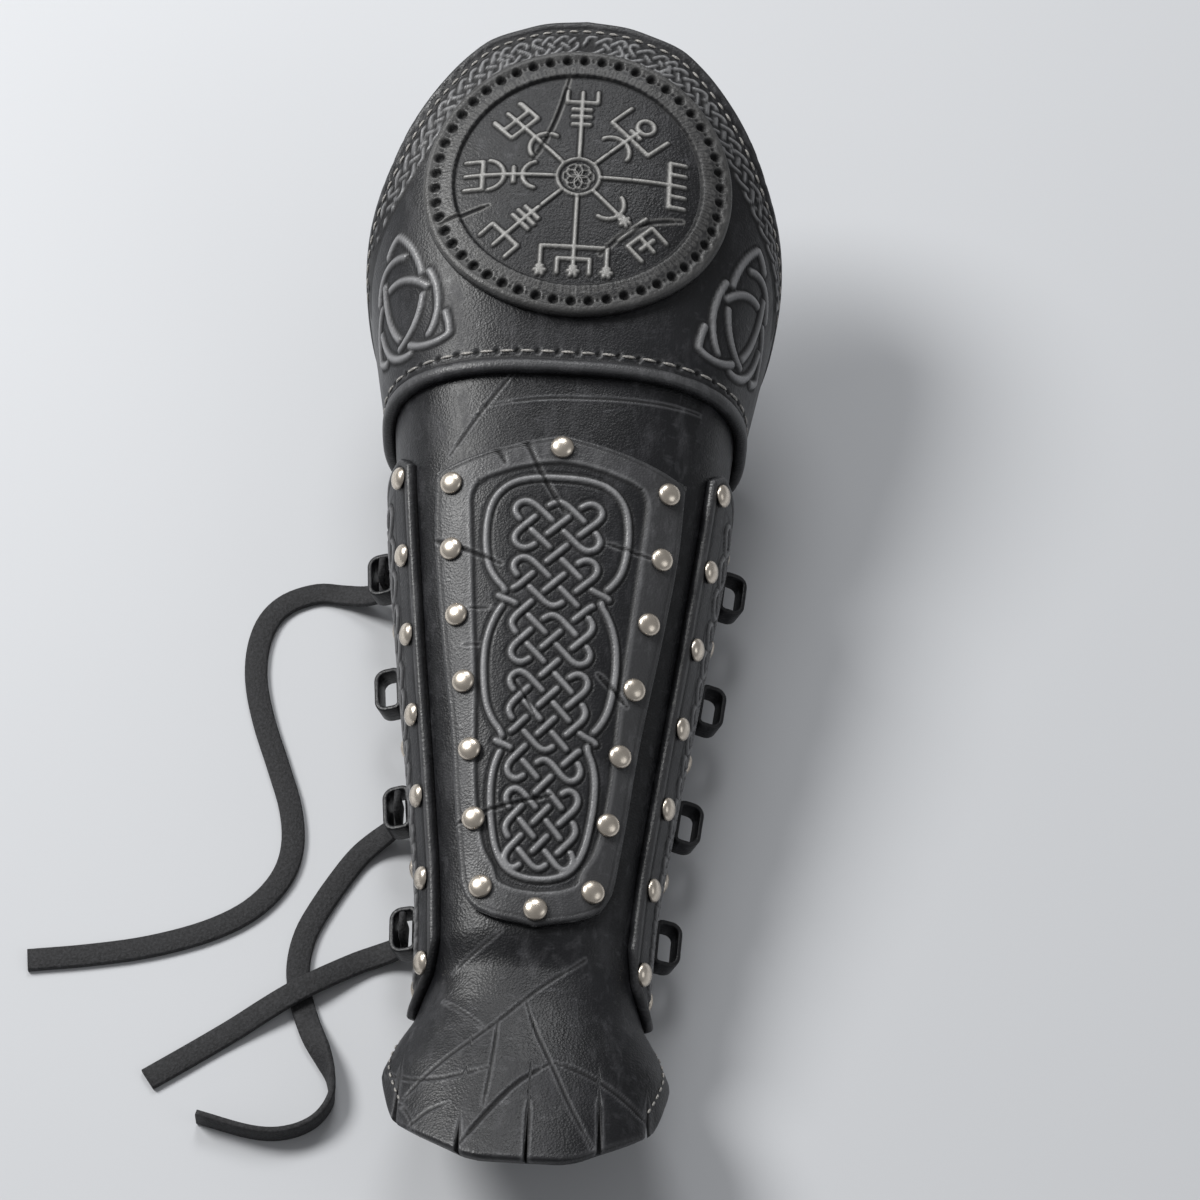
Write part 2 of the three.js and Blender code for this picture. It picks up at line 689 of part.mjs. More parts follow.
// A flat leather loop that stands off the side panel, open around the arm
function makeKeeper(side, sign, share, number) {
  const along = sidePanelStart + share * sidePanelLength;
  const inset = keeperWidth / 2 + keeperEdgeInset;
  const angle = sign * sideColumn(along, inset, false);
  const rounded = (half, low, high, round) => {
    const path = new THREE.Path();
    path.moveTo(-half, low);
    path.lineTo(half, low);
    path.lineTo(half, high - round);
    path.lineTo(half - round, high);
    path.lineTo(-half + round, high);
    path.lineTo(-half, high - round);
    return path;
  };
  const half = keeperLength / 2;
  const outer = new THREE.Shape(rounded(half, 0, keeperStandOff, keeperRound).getPoints());
  const innerTop = keeperStandOff - keeperStrap;
  const inner = rounded(half - keeperStrap, keeperStrap, innerTop, keeperRound - keeperStrap / 2);
  outer.holes.push(inner);
  const geometry = new THREE.ExtrudeGeometry(outer, { depth: keeperWidth, bevelEnabled: false });
  geometry.translate(0, 0, -keeperWidth / 2);
  geometry.applyMatrix4(new THREE.Matrix4().makeBasis(
    new THREE.Vector3(0, 1, 0),
    new THREE.Vector3(0, 0, 1),
    new THREE.Vector3(1, 0, 0),
  ));
  const keeper = meshOf(closed(geometry), leather, `keeper_${side}_${number}`);
  return seat(keeper, angle, along, onPanel + keeperSeatGap);
}

// A flat strap laid along its route. Its width keeps level except where it stands on its edge, and
// lies along the keeper's strap where the lace hangs.
function makeLace(name) {
  const route = laceRoutes[name];
  const points = route.map(([x, y, z]) => new THREE.Vector3(x, y, z));
  const last = route.length - 1;
  const ahead = points.map((point, i) =>
    points[Math.min(i + 1, last)].clone().sub(points[Math.max(i - 1, 0)]).normalize());
  const level = ahead.map((way) => {
    const width = new THREE.Vector3(0, 0, 1).cross(way);
    width.y -= Math.abs(way.z);
    return width.addScaledVector(way, -width.dot(way)).normalize();
  });
  const halfWidth = laceWidth / 2;
  const halfThickness = laceThickness / 2;
  const ease = laceEase;
  const section = new THREE.Shape([
    new THREE.Vector2(-halfWidth + ease, -halfThickness),
    new THREE.Vector2(halfWidth - ease, -halfThickness),
    new THREE.Vector2(halfWidth, -halfThickness + ease),
    new THREE.Vector2(halfWidth, halfThickness - ease),
    new THREE.Vector2(halfWidth - ease, halfThickness),
    new THREE.Vector2(-halfWidth + ease, halfThickness),
    new THREE.Vector2(-halfWidth, halfThickness - ease),
    new THREE.Vector2(-halfWidth, -halfThickness + ease),
  ]);
  const straight = new THREE.ExtrudeGeometry(section, { depth: 1, steps: last, bevelEnabled: false });
  const position = straight.attributes.position;
  for (let i = 0; i < position.count; i += 1) {
    const station = Math.round(position.getZ(i) * last);
    const stand = route[station][3] * Math.PI / 2;
    const across = level[station].clone().applyAxisAngle(ahead[station], stand);
    const up = ahead[station].clone().cross(across);
    const point = points[station].clone();
    point.addScaledVector(across, position.getX(i)).addScaledVector(up, position.getY(i));
    position.setXYZ(i, point.x, point.y, point.z);
  }
  return meshOf(closed(straight), laceLeather, name);
}

const bracer = new THREE.Group();
bracer.name = 'leather_bracer';
bracer.add(makeShell(), makeElbowCuff(), makeMedallion(), makeFrontPanel());
bracer.add(makeSidePanel('left', -1, leftRivets), makeSidePanel('right', 1, rightRivets));
for (const rivet of allRivets) bracer.add(makeRivet(rivet));
for (const [i, share] of keeperPlaces.entries()) {
  bracer.add(makeKeeper('left', -1, share, i + 1), makeKeeper('right', 1, share, i + 1));
}
for (const name of Object.keys(laceRoutes)) bracer.add(makeLace(name));

export default bracer;
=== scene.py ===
"""Leather bracer with an elbow cuff, lying on its laced back. Patterns are drawn in millimetres on the
flat leather, as distance round the arm and place along it, and every piece is then wrapped on the form."""

import math

import bpy
import numpy as np
from mathutils import Matrix, Vector


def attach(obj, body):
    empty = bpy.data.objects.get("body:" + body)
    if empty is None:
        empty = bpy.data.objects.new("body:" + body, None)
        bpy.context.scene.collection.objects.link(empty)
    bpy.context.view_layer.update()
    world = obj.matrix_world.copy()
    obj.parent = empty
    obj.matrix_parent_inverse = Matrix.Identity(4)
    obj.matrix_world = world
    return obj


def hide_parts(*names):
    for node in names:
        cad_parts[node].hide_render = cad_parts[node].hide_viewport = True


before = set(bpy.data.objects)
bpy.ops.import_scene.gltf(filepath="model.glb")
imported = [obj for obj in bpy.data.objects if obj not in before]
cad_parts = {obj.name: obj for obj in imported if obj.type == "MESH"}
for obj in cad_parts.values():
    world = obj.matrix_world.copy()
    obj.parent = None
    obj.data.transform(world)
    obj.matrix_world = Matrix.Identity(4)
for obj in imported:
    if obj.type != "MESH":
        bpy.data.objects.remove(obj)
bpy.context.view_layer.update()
MM = 0.001

# Arm form, as the solids have it
LENGTH = 420.0
ELBOW_HALF_WIDTH = 74.0
ELBOW_HALF_DEPTH = 54.2
WRIST_HALF_WIDTH = 35.6
WRIST_HALF_DEPTH = 27.1
TONGUE_HALF_WIDTH = 48.0
REST_FLATTENING = 3.0
BACK_EDGE = 154.0
LEATHER = 3.0
FIT_GAP = 0.3
TONGUE = 57.0
LIFT_RUN = 28.0
CUFF_START = 278.0
CUFF_BACK = 28.0
SLEEVE_TUCK = 22.0
ON_SLEEVE = FIT_GAP
ON_PANEL = FIT_GAP + LEATHER

# Medallion, panels, rivets, keepers and laces
MEDALLION_CENTRE = 351.0
MEDALLION_RADIUS = 53.0
MEDALLION_THICKNESS = 3.6
FLOOR_RADIUS = 42.0
HUB_RADIUS = 7.4
FRONT_START = 84.0
FRONT_LENGTH = 171.0
FRONT_TOP_HALF = 43.0
FRONT_BOTTOM_HALF = 21.5
SIDE_START = 62.0
SIDE_LENGTH = 194.0
SIDE_FRONT = 61.0
SIDE_REAR = 114.0
RIVET_RADIUS = 4.0
RIVET_HEIGHT = 2.4
RIVET_SEAT = 0.45
KEEPER_LENGTH = 17.0
KEEPER_WIDTH = 8.0
KEEPER_STAND_OFF = 9.8
KEEPER_STRAP = 1.7
LACE_WIDTH = 8.0
LACE_THICKNESS = 2.2

# Arm sections: place, width share, depth share, tongue flare, squareness
SECTIONS = [
    (0.0, 0.0, 0.2, 0.84, 2.3),
    (0.043, 0.0, 0.144, 1.0, 2.3),
    (0.086, 0.0, 0.089, 1.0, 2.3),
    (0.119, 0.0, 0.037, 0.64, 2.35),
    (0.148, 0.0, 0.007, 0.153, 2.4),
    (0.176, 0.0, 0.0, 0.0, 2.4),
    (0.226, 0.018, 0.037, 0.0, 2.5),
    (0.333, 0.159, 0.199, 0.0, 2.6),
    (0.452, 0.349, 0.384, 0.0, 2.7),
    (0.571, 0.531, 0.568, 0.0, 2.7),
    (0.667, 0.643, 0.697, 0.0, 2.7),
    (0.738, 0.781, 0.812, 0.0, 2.7),
    (0.81, 0.932, 0.9, 0.0, 2.7),
    (0.893, 0.984, 0.952, 0.0, 2.7),
    (1.0, 1.0, 1.0, 0.0, 2.7),
]

# Edge of the hand tongue: angle, share of the tongue cut away
TONGUE_EDGE = [
    (0, 0.0), (20, 0.01), (30, 0.035), (40, 0.093), (50, 0.16), (59, 0.23), (67, 0.31), (76, 0.53),
    (84, 0.75), (90, 0.9), (98, 1.0), (154, 1.0),
]

# Splits in the tongue's edge: angle, share of the tongue that they run, half width
TONGUE_SPLITS = [(-66, 0.3, 1.2), (-34, 0.16, 0.9), (3, 0.34, 0.7), (41, 0.3, 0.9), (64, 0.18, 1.1)]

# Top edge of the elbow cuff: angle, share of the dome's rise
DOME_EDGE = [
    (0, 1.0), (14, 0.988), (24, 0.962), (33, 0.93), (40, 0.873), (49, 0.768), (56, 0.667), (64, 0.532),
    (76, 0.386), (88, 0.272), (105, 0.14), (125, 0.044), (140, 0.01), (154, 0.0),
]

# Half of the front panel and of its sunk field: place, share of the top and of the bottom half width
FRONT_HALF = [
    (0.0, 0.0, 0.0), (0.017, 0.0, 0.61), (0.047, 0.0, 0.99), (0.082, 0.03, 1.07), (0.17, 0.13, 0.98),
    (0.4, 0.45, 0.57), (0.63, 0.75, 0.27), (0.8, 0.93, 0.09), (0.93, 1.0, 0.0), (0.948, 0.79, 0.0),
    (0.967, 0.54, 0.0), (0.985, 0.27, 0.0), (1.0, 0.0, 0.0),
]
FIELD_HALF = [
    (0.067, 0.0, 0.0), (0.072, 0.0, 0.32), (0.095, 0.0, 0.61), (0.16, 0.12, 0.59), (0.5, 0.42, 0.28),
    (0.87, 0.69, 0.0), (0.9, 0.64, 0.0), (0.912, 0.52, 0.0), (0.926, 0.34, 0.0), (0.936, 0.16, 0.0), (0.94, 0.0, 0.0),
]

# Lower and upper edges of a side panel, from its front edge to its rear edge
SIDE_LOW = [(0.0, 0.11), (0.1, 0.055), (0.34, 0.006), (0.5, 0.0), (0.68, 0.014), (0.92, 0.07), (1.0, 0.12)]
SIDE_HIGH = [(0.0, 0.975), (0.1, 1.0), (0.9, 0.985), (1.0, 0.93)]

FRONT_RIVET_ROWS = 7
FRONT_RIVET_LOW = 0.076
FRONT_RIVET_HIGH = 0.9
FRONT_RIVET_INSET = 6.4
PEAK_RIVET_INSET = 5.2
SIDE_RIVET_INSET = 5.2
SIDE_FRONT_RIVETS = [0.08, 0.228, 0.374, 0.52, 0.666, 0.812, 0.958]
SIDE_REAR_RIVETS = [0.085, 0.31, 0.545, 0.779, 0.966]
KEEPER_PLACES = [0.193, 0.427, 0.662, 0.897]
KEEPER_INSET = KEEPER_WIDTH / 2 + 0.6
KEEPER_SEAT = 0.5

# Lace routes: points in millimetres, and how far the strap stands on its edge
LACE_ROUTES = {
    "lace_top": [
        (-62, 25.3, 30, 0), (-61.8, 25.3, 25, 0), (-60.4, 25.3, 20, 0), (-60, 25.3, 16.4, 0),
        (-61.6, 25.5, 12.6, 0), (-65, 26.2, 8.8, 0), (-70, 27.4, 5.2, 0), (-77, 29.2, 2.2, 0),
        (-86, 29.8, 1.2, 0), (-96, 25.4, 1.2, 0), (-102.4, 17.6, 1.2, 0), (-105.2, 6, 1.2, 0),
        (-104.6, -8, 1.2, 0), (-100.4, -24, 1.2, 0), (-94, -41, 1.2, 0), (-88, -58, 1.2, 0),
        (-86, -73, 1.2, 0), (-89, -86, 1.2, 0), (-98, -98, 1.2, 0), (-112, -107, 1.2, 0),
        (-131, -114, 1.2, 0), (-151, -118.4, 1.2, 0), (-171.6, -121.6, 1.2, 0),
    ],
    "lace_middle": [
        (-49.9, -66.1, 26.4, 0), (-49.7, -66.1, 21.5, 0), (-49.1, -66.1, 16.7, 0),
        (-49, -66.1, 12.9, 0), (-50.2, -66.4, 9.2, 0), (-53, -67.6, 5.6, 0), (-57.6, -70.4, 2.8, 0),
        (-62.4, -75, 1.5, 0), (-67, -82, 1.2, 0), (-73.4, -94, 1.2, 0), (-78.4, -106, 1.2, 0),
        (-80, -118, 1.2, 0), (-78.4, -129, 1.2, 0), (-75.4, -138, 1.4, 0), (-72.4, -145, 2.7, 0.25),
        (-68.6, -152.4, 4, 0.6), (-65.4, -160, 4.3, 0.9), (-64.8, -168, 4.2, 1), (-69.6, -176, 4.2, 1),
        (-78.6, -180.6, 4.2, 1), (-90, -181, 4.2, 1), (-108.4, -176.6, 4.2, 1),
    ],
    "lace_bottom": [
        (-44.9, -111.1, 24.4, 0), (-44.7, -111.1, 19.4, 0), (-44.1, -111.1, 14.6, 0),
        (-44, -111.1, 10.8, 0), (-45.2, -111.4, 7.2, 0), (-48.2, -112, 4.2, 0), (-53, -113.4, 2.4, 0),
        (-59.4, -116.2, 2.2, 0), (-67, -120.8, 3.1, 0), (-74.6, -125.8, 4.1, 0), (-82, -130.8, 4.1, 0),
        (-90, -136.4, 3, 0), (-98.6, -142.8, 1.8, 0), (-108, -149.6, 1.2, 0), (-117, -156.2, 1.2, 0),
        (-126.4, -163, 1.2, 0),
    ],
}

# Camera at the photograph's angle
VIEW_POINT = (15.6, 7.0, 45.0)
VIEW_DISTANCE = 1300.0
VIEW_ELEVATION = 58.5
VIEW_ROLL = 3.1
VIEW_LENS = 112.35


def smooth_column(rows, column):
    """Curve through a table's column that never overshoots its rows."""
    x = np.array([row[0] for row in rows], float)
    y = np.array([row[column] for row in rows], float)
    step = np.diff(x)
    slope = np.diff(y) / step
    tangent = np.empty_like(y)
    tangent[0], tangent[-1] = slope[0], slope[-1]
    for i in range(1, len(y) - 1):
        if slope[i - 1] * slope[i] <= 0:
            tangent[i] = 0
            continue
        before = 2 * step[i] + step[i - 1]
        after = step[i] + 2 * step[i - 1]
        tangent[i] = (before + after) / (before / slope[i - 1] + after / slope[i])

    def value(at):
        at = np.asarray(at, float)
        i = np.clip(np.searchsorted(x, at) - 1, 0, len(step) - 1)
        s = np.clip((at - x[i]) / step[i], 0, 1)
        rise = s * s * (3 - 2 * s)
        lead = s * (1 - s) ** 2 * step[i] * tangent[i]
        trail = s * s * (s - 1) * step[i] * tangent[i + 1]
        return y[i] + (y[i + 1] - y[i]) * rise + lead + trail

    return value


wide_at, deep_at, flare_at, square_at = (smooth_column(SECTIONS, column) for column in (1, 2, 3, 4))
tongue_cut_at = smooth_column(TONGUE_EDGE, 1)
dome_rise_at = smooth_column(DOME_EDGE, 1)


def lift_at(along):
    share = np.clip((along - TONGUE) / LIFT_RUN * 2 - 1, 0, 1)
    return (LEATHER + FIT_GAP) * share * share * (3 - 2 * share)


def face_point(angle, along):
    """Points of the sleeve's outer face."""
    angle = np.asarray(angle, float)
    along = np.asarray(along, float)
    at = along / LENGTH
    half_width = WRIST_HALF_WIDTH + wide_at(at) * (ELBOW_HALF_WIDTH - WRIST_HALF_WIDTH)
    half_width = half_width + flare_at(at) * (TONGUE_HALF_WIDTH - WRIST_HALF_WIDTH)
    half_depth = WRIST_HALF_DEPTH + deep_at(at) * (ELBOW_HALF_DEPTH - WRIST_HALF_DEPTH)
    power = square_at(at)
    across, up = np.sin(np.radians(angle)), np.cos(np.radians(angle))
    reach = ((np.abs(up) / half_depth) ** power + (np.abs(across) / half_width) ** power) ** (-1 / power)
    lift = lift_at(along)
    height = np.maximum(lift + half_depth - REST_FLATTENING + reach * up, lift)
    return np.stack([reach * across, np.broadcast_to(along - LENGTH / 2, reach.shape), height], -1)


def unit(vectors):
    return vectors / np.linalg.norm(vectors, axis=-1, keepdims=True)


def face_out(angle, along):
    around = face_point(angle + 0.6, along) - face_point(angle - 0.6, along)
    onward = face_point(angle, along + 0.8) - face_point(angle, along - 0.8)
    return unit(np.cross(around, onward))


def wrapped(angle, along, height):
    """Points at a height above the sleeve's face, in millimetres."""
    height = np.asarray(height, float)
    return face_point(angle, along) + face_out(angle, along) * height[..., None]


ARC_TURNS = np.linspace(0, 180, 181)
ARC_PLACES = np.linspace(0, LENGTH, 211)
arc_points = face_point(ARC_TURNS[None, :], ARC_PLACES[:, None])
arc_steps = np.linalg.norm(np.diff(arc_points, axis=1), axis=2)
ARC = np.concatenate([np.zeros((len(ARC_PLACES), 1)), np.cumsum(arc_steps, axis=1)], axis=1)


def distance_at(angle, along):
    """Distance round the sleeve from its front line."""
    angle, along = np.broadcast_arrays(np.asarray(angle, float), np.asarray(along, float))
    turn = np.clip(np.abs(angle), 0, 179.999)
    place = np.clip(along / LENGTH * (len(ARC_PLACES) - 1), 0, len(ARC_PLACES) - 1.001)
    i, j = place.astype(int), turn.astype(int)
    u, v = place - i, turn - j
    near = ARC[i, j] * (1 - v) + ARC[i, j + 1] * v
    far = ARC[i + 1, j] * (1 - v) + ARC[i + 1, j + 1] * v
    return np.sign(angle) * (near * (1 - u) + far * u)


def angle_at(distance, along):
    distance, along = np.broadcast_arrays(np.asarray(distance, float), np.asarray(along, float))
    low, high = np.zeros(distance.shape), np.full(distance.shape, 179.9)
    for _ in range(20):
        middle = (low + high) / 2
        short = distance_at(middle, along) < np.abs(distance)
        low, high = np.where(short, middle, low), np.where(short, high, middle)
    return np.sign(distance) * (low + high) / 2


def smooth_step(x, low, high):
    s = np.clip((x - low) / (high - low), 0, 1)
    return s * s * (3 - 2 * s)


def spread(start, end, step, fine=()):
    """Places from start to end about a step apart, with finer ones given by their inset from each end."""
    middle = list(np.linspace(0, 1, max(int(round((end - start) / step)), 2) + 1) * (end - start) + start)
    inset = fine[-1] if fine else 0
    middle = [x for x in middle if start + inset < x < end - inset]
    return np.array([start] + [start + x for x in fine] + middle + [end - x for x in fine[::-1]] + [end])


def round_path(points, spacing=0.5, closed=False, passes=3):
    """Smooth curve through given points, as evenly spaced samples."""
    points = np.array(points, float)
    for _ in range(passes):
        ring = np.vstack([points, points[:1]]) if closed else points
        quarter = ring[:-1] * 0.75 + ring[1:] * 0.25
        three = ring[:-1] * 0.25 + ring[1:] * 0.75
        cut = np.stack([quarter, three], 1).reshape(-1, points.shape[1])
        points = cut if closed else np.vstack([points[:1], cut[1:-1], points[-1:]])
    return even_path(points, spacing, closed)


def even_path(points, spacing=0.5, closed=False):
    points = np.array(points, float)
    if closed:
        points = np.vstack([points, points[:1]])
    gone = np.concatenate([[0], np.cumsum(np.linalg.norm(np.diff(points, axis=0), axis=1))])
    count = max(int(gone[-1] / spacing), 2)
    at = np.linspace(0, gone[-1], count + 1)
    return np.stack([np.interp(at, gone, points[:, k]) for k in range(points.shape[1])], 1)


def arc_path(centre, radius, start, end, spacing=0.4):
    count = max(int(abs(math.radians(end - start)) * radius / spacing), 3)
    turn = np.radians(np.linspace(start, end, count + 1))
    return np.stack([centre[0] + radius * np.cos(turn), centre[1] + radius * np.sin(turn)], 1)


def weave(strands, half_width, gap):
    """Cuts each strand where it passes under another, so that strands go over and under in turn."""
    starts, ends, owner, order = [], [], [], []
    for k, strand in enumerate(strands):
        starts.append(strand[:-1])
        ends.append(strand[1:])
        owner.append(np.full(len(strand) - 1, k))
        order.append(np.arange(len(strand) - 1))
    p, q = np.vstack(starts), np.vstack(ends)
    owner, order = np.concatenate(owner), np.concatenate(order)
    d = q - p
    cross = d[:, None, 0] * d[None, :, 1] - d[:, None, 1] * d[None, :, 0]
    away = p[None, :, :] - p[:, None, :]
    safe = np.where(np.abs(cross) < 1e-9, 1e9, cross)
    u = (away[..., 0] * d[None, :, 1] - away[..., 1] * d[None, :, 0]) / safe
    v = (away[..., 0] * d[:, None, 1] - away[..., 1] * d[:, None, 0]) / safe
    hit = (u >= 0) & (u < 1) & (v >= 0) & (v < 1) & (np.abs(cross) > 1e-9)
    same = owner[:, None] == owner[None, :]
    hit &= ~(same & (np.abs(order[:, None] - order[None, :]) < 4))
    events = [[] for _ in strands]
    crossings = []
    for i, j in zip(*np.nonzero(np.triu(hit, 1))):
        sine = abs(cross[i, j]) / (np.linalg.norm(d[i]) * np.linalg.norm(d[j]))
        number = len(crossings)
        crossings.append(max(sine, 0.35))
        events[owner[i]].append((order[i] + u[i, j], number, 0))
        events[owner[j]].append((order[j] + v[i, j], number, 1))
    links = [[] for _ in crossings]
    for row in events:
        row.sort()
        for (_, a, side_a), (_, b, side_b) in zip(row[:-1], row[1:]):
            flip = 1 - (side_a ^ side_b)
            links[a].append((b, flip))
            links[b].append((a, flip))
    state = [None] * len(crossings)
    for first in range(len(crossings)):
        if state[first] is not None:
            continue
        state[first], queue = 0, [first]
        while queue:
            a = queue.pop()
            for b, flip in links[a]:
                if state[b] is None:
                    state[b] = state[a] ^ flip
                    queue.append(b)
    pieces = []
    for strand, row in zip(strands, events):
        spacing = np.linalg.norm(strand[1] - strand[0])
        shown = np.ones(len(strand), bool)
        index = np.arange(len(strand))
        for at, number, side in row:
            if state[number] ^ side:
                shown &= np.abs(index - at) * spacing * crossings[number] > 2 * half_width + gap
        pieces += [strand[run] for run in runs_of(shown)]
    return pieces


def runs_of(shown):
    marks = np.flatnonzero(np.diff(np.concatenate([[0], shown.astype(int), [0]])))
    return [np.arange(a, b) for a, b in zip(marks[::2], marks[1::2])]


def plait(columns, rows, level=(), push=0.28):
    """Strands of a knotwork band. Crossings lie where column + row is odd, and a strand turns at the
    band's edges and at the breaks listed as level."""
    width, height = 2 * columns, 2 * rows
    level = set(level)

    def turn_at(x, y):
        return x in (0, width), y in (0, height) or (x, y) in level

    seen, strands = set(), []
    for x in range(width):
        for y in range(height):
            place, heading = (x, y), (1, 1 if (x + y) % 2 else -1)
            strand = []
            while place not in seen:
                seen.add(place)
                strand.append((place[0] + 0.5, place[1] + 0.5))
                node = (place[0] + (heading[0] + 1) // 2, place[1] + (heading[1] + 1) // 2)
                stops, floors = turn_at(*node)
                if stops:
                    strand.append((node[0] - heading[0] * push, node[1]))
                    heading = (-heading[0], heading[1])
                elif floors:
                    strand.append((node[0], node[1] - heading[1] * push))
                    heading = (heading[0], -heading[1])
                else:
                    strand.append(node)
                place = (node[0] + (heading[0] - 1) // 2, node[1] + (heading[1] - 1) // 2)
            if strand:
                strands.append(np.array(strand, float))
    return strands


class Carving:
    """Heights, painted shade and painted highlight drawn on a rectangle of the flat leather."""

    def __init__(self, low, high, cell=0.3):
        self.low, self.cell = low, cell
        self.s = np.arange(low[0], high[0] + cell, cell)
        self.t = np.arange(low[1], high[1] + cell, cell)
        self.s_grid, self.t_grid = np.meshgrid(self.s, self.t, indexing="ij")
        self.height = np.zeros(self.s_grid.shape)
        # painted shade: hollows of grooves, cracks and holes darkened
        self.dark = np.zeros(self.s_grid.shape)
        # raised relief and rims painted pale: partly wear, partly painted highlight
        self.bright = np.zeros(self.s_grid.shape)

    def distance(self, paths, reach):
        """Distance of every place from the nearest path, up to reach."""
        near = np.full(self.height.shape, reach * reach)
        span = int(reach / self.cell) + 1
        for path in paths:
            for s, t in np.asarray(path)[:, :2]:
                i = int((s - self.low[0]) / self.cell)
                j = int((t - self.low[1]) / self.cell)
                if i + span < 0 or j + span < 0 or i - span >= len(self.s) or j - span >= len(self.t):
                    continue
                rows = slice(max(i - span, 0), i + span + 2)
                columns = slice(max(j - span, 0), j + span + 2)
                gap = (self.s[rows, None] - s) ** 2 + (self.t[None, columns] - t) ** 2
                np.minimum(near[rows, columns], gap, out=near[rows, columns])
        return np.sqrt(near)

    def strand(self, paths, width, rise, groove=0.55, shine=1.0):
        """Raised rounded strands, painted pale as partly wear and partly painted highlight, with a groove on both
        sides darkened as painted shade.
        """
        half = width / 2
        near = self.distance(paths, half + groove * 2.5)
        body = np.clip(1 - (near / half) ** 2.6, 0, 1)
        self.height = np.maximum(self.height, rise * body ** 0.6)
        ditch = np.clip(1 - np.abs(near - half - groove * 0.6) / groove, 0, 1)
        self.height -= ditch * 0.35 * (body <= 0)
        # groove darkened as painted shade; strand body painted pale, partly wear and partly painted highlight
        self.dark = np.maximum(self.dark * (1 - body), ditch)
        self.bright = np.maximum(self.bright, shine * np.clip(body, 0, 1))

    def cut(self, paths, width, depth, shade=1.0, lip=0.12):
        """Cracks and tooled lines, which taper to both ends. Their hollows are darkened as painted shade and their
        lips lightened as a painted highlight.
        """
        for path in paths:
            path = np.asarray(path)
            share = np.linspace(0, 1, len(path))
            taper = np.clip(np.minimum(share, 1 - share) * 6, 0.25, 1)
            for part, size in ((path[(taper > 0.6)], 1.0), (path[(taper <= 0.6)], 0.6)):
                if not len(part):
                    continue
                half = width / 2 * size
                near = self.distance([part], half + 1.2)
                body = np.clip(1 - near / half, 0, 1)
                self.height -= depth * size * body
                edge = np.clip(1 - np.abs(near - half - 0.4) / 0.5, 0, 1)
                self.height += lip * edge
                # lips painted light as a painted highlight, hollows darkened as painted shade
                self.bright = np.maximum(self.bright, edge * 0.42 * shade)
                self.dark = np.maximum(self.dark, np.clip(body * 2.2, 0, 1) * shade)

    def dots(self, centres, radius, depth, shade=1.0):
        near = self.distance([np.array(centres)], radius * 2 + 0.6)
        body = 1 - smooth_step(near, radius * 0.72, radius)
        self.height -= depth * body
        # holes darkened as painted shade; the pale ring round each is a painted highlight
        self.dark = np.maximum(self.dark, body * shade)
        edge = np.clip(1 - np.abs(near - radius - 0.35) / 0.4, 0, 1)
        self.bright = np.maximum(self.bright, edge * 0.2)

    def read(self, layer, s, t):
        x = np.clip((s - self.low[0]) / self.cell, 0, len(self.s) - 1.001)
        y = np.clip((t - self.low[1]) / self.cell, 0, len(self.t) - 1.001)
        i, j = x.astype(int), y.astype(int)
        u, v = x - i, y - j
        return (
            layer[i, j] * (1 - u) * (1 - v) + layer[i + 1, j] * u * (1 - v)
            + layer[i, j + 1] * (1 - u) * v + layer[i + 1, j + 1] * u * v
        )


def outline_distance(s, t, outline):
    """Distance of places from a closed outline, in millimetres."""
    points = np.array(outline, float)
    best = np.full(s.shape, 1e9)
    for a, b in zip(points, np.roll(points, -1, axis=0)):
        along = b - a
        share = np.clip(((s - a[0]) * along[0] + (t - a[1]) * along[1]) / (along @ along + 1e-12), 0, 1)
        gap = (s - a[0] - share * along[0]) ** 2 + (t - a[1] - share * along[1]) ** 2
        best = np.minimum(best, gap)
    return np.sqrt(best)


def edge_drop(distance, radius):
    """How far a rounded edge lies below the face."""
    inside = np.clip(radius - distance, 0, radius)
    return radius - np.sqrt(np.maximum(radius * radius - inside * inside, 0))


def mesh_piece(name, vertices, faces, nodes, finish, marks=None):
    """Makes a piece from points in millimetres, and lets it stand for its solids."""
    mesh = bpy.data.meshes.new(name)
    mesh.from_pydata((np.asarray(vertices) * MM).tolist(), [], faces)
    mesh.shade_smooth()
    for label, values in (marks or {}).items():
        layer = mesh.attributes.new(label, "FLOAT", "POINT")
        layer.data.foreach_set("value", np.asarray(values, np.float32).ravel())
    mesh.materials.append(finish)
    piece = bpy.data.objects.new(name, mesh)
    bpy.context.collection.objects.link(piece)
    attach(piece, "root")
    if nodes:
        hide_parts(*nodes)
    return piece


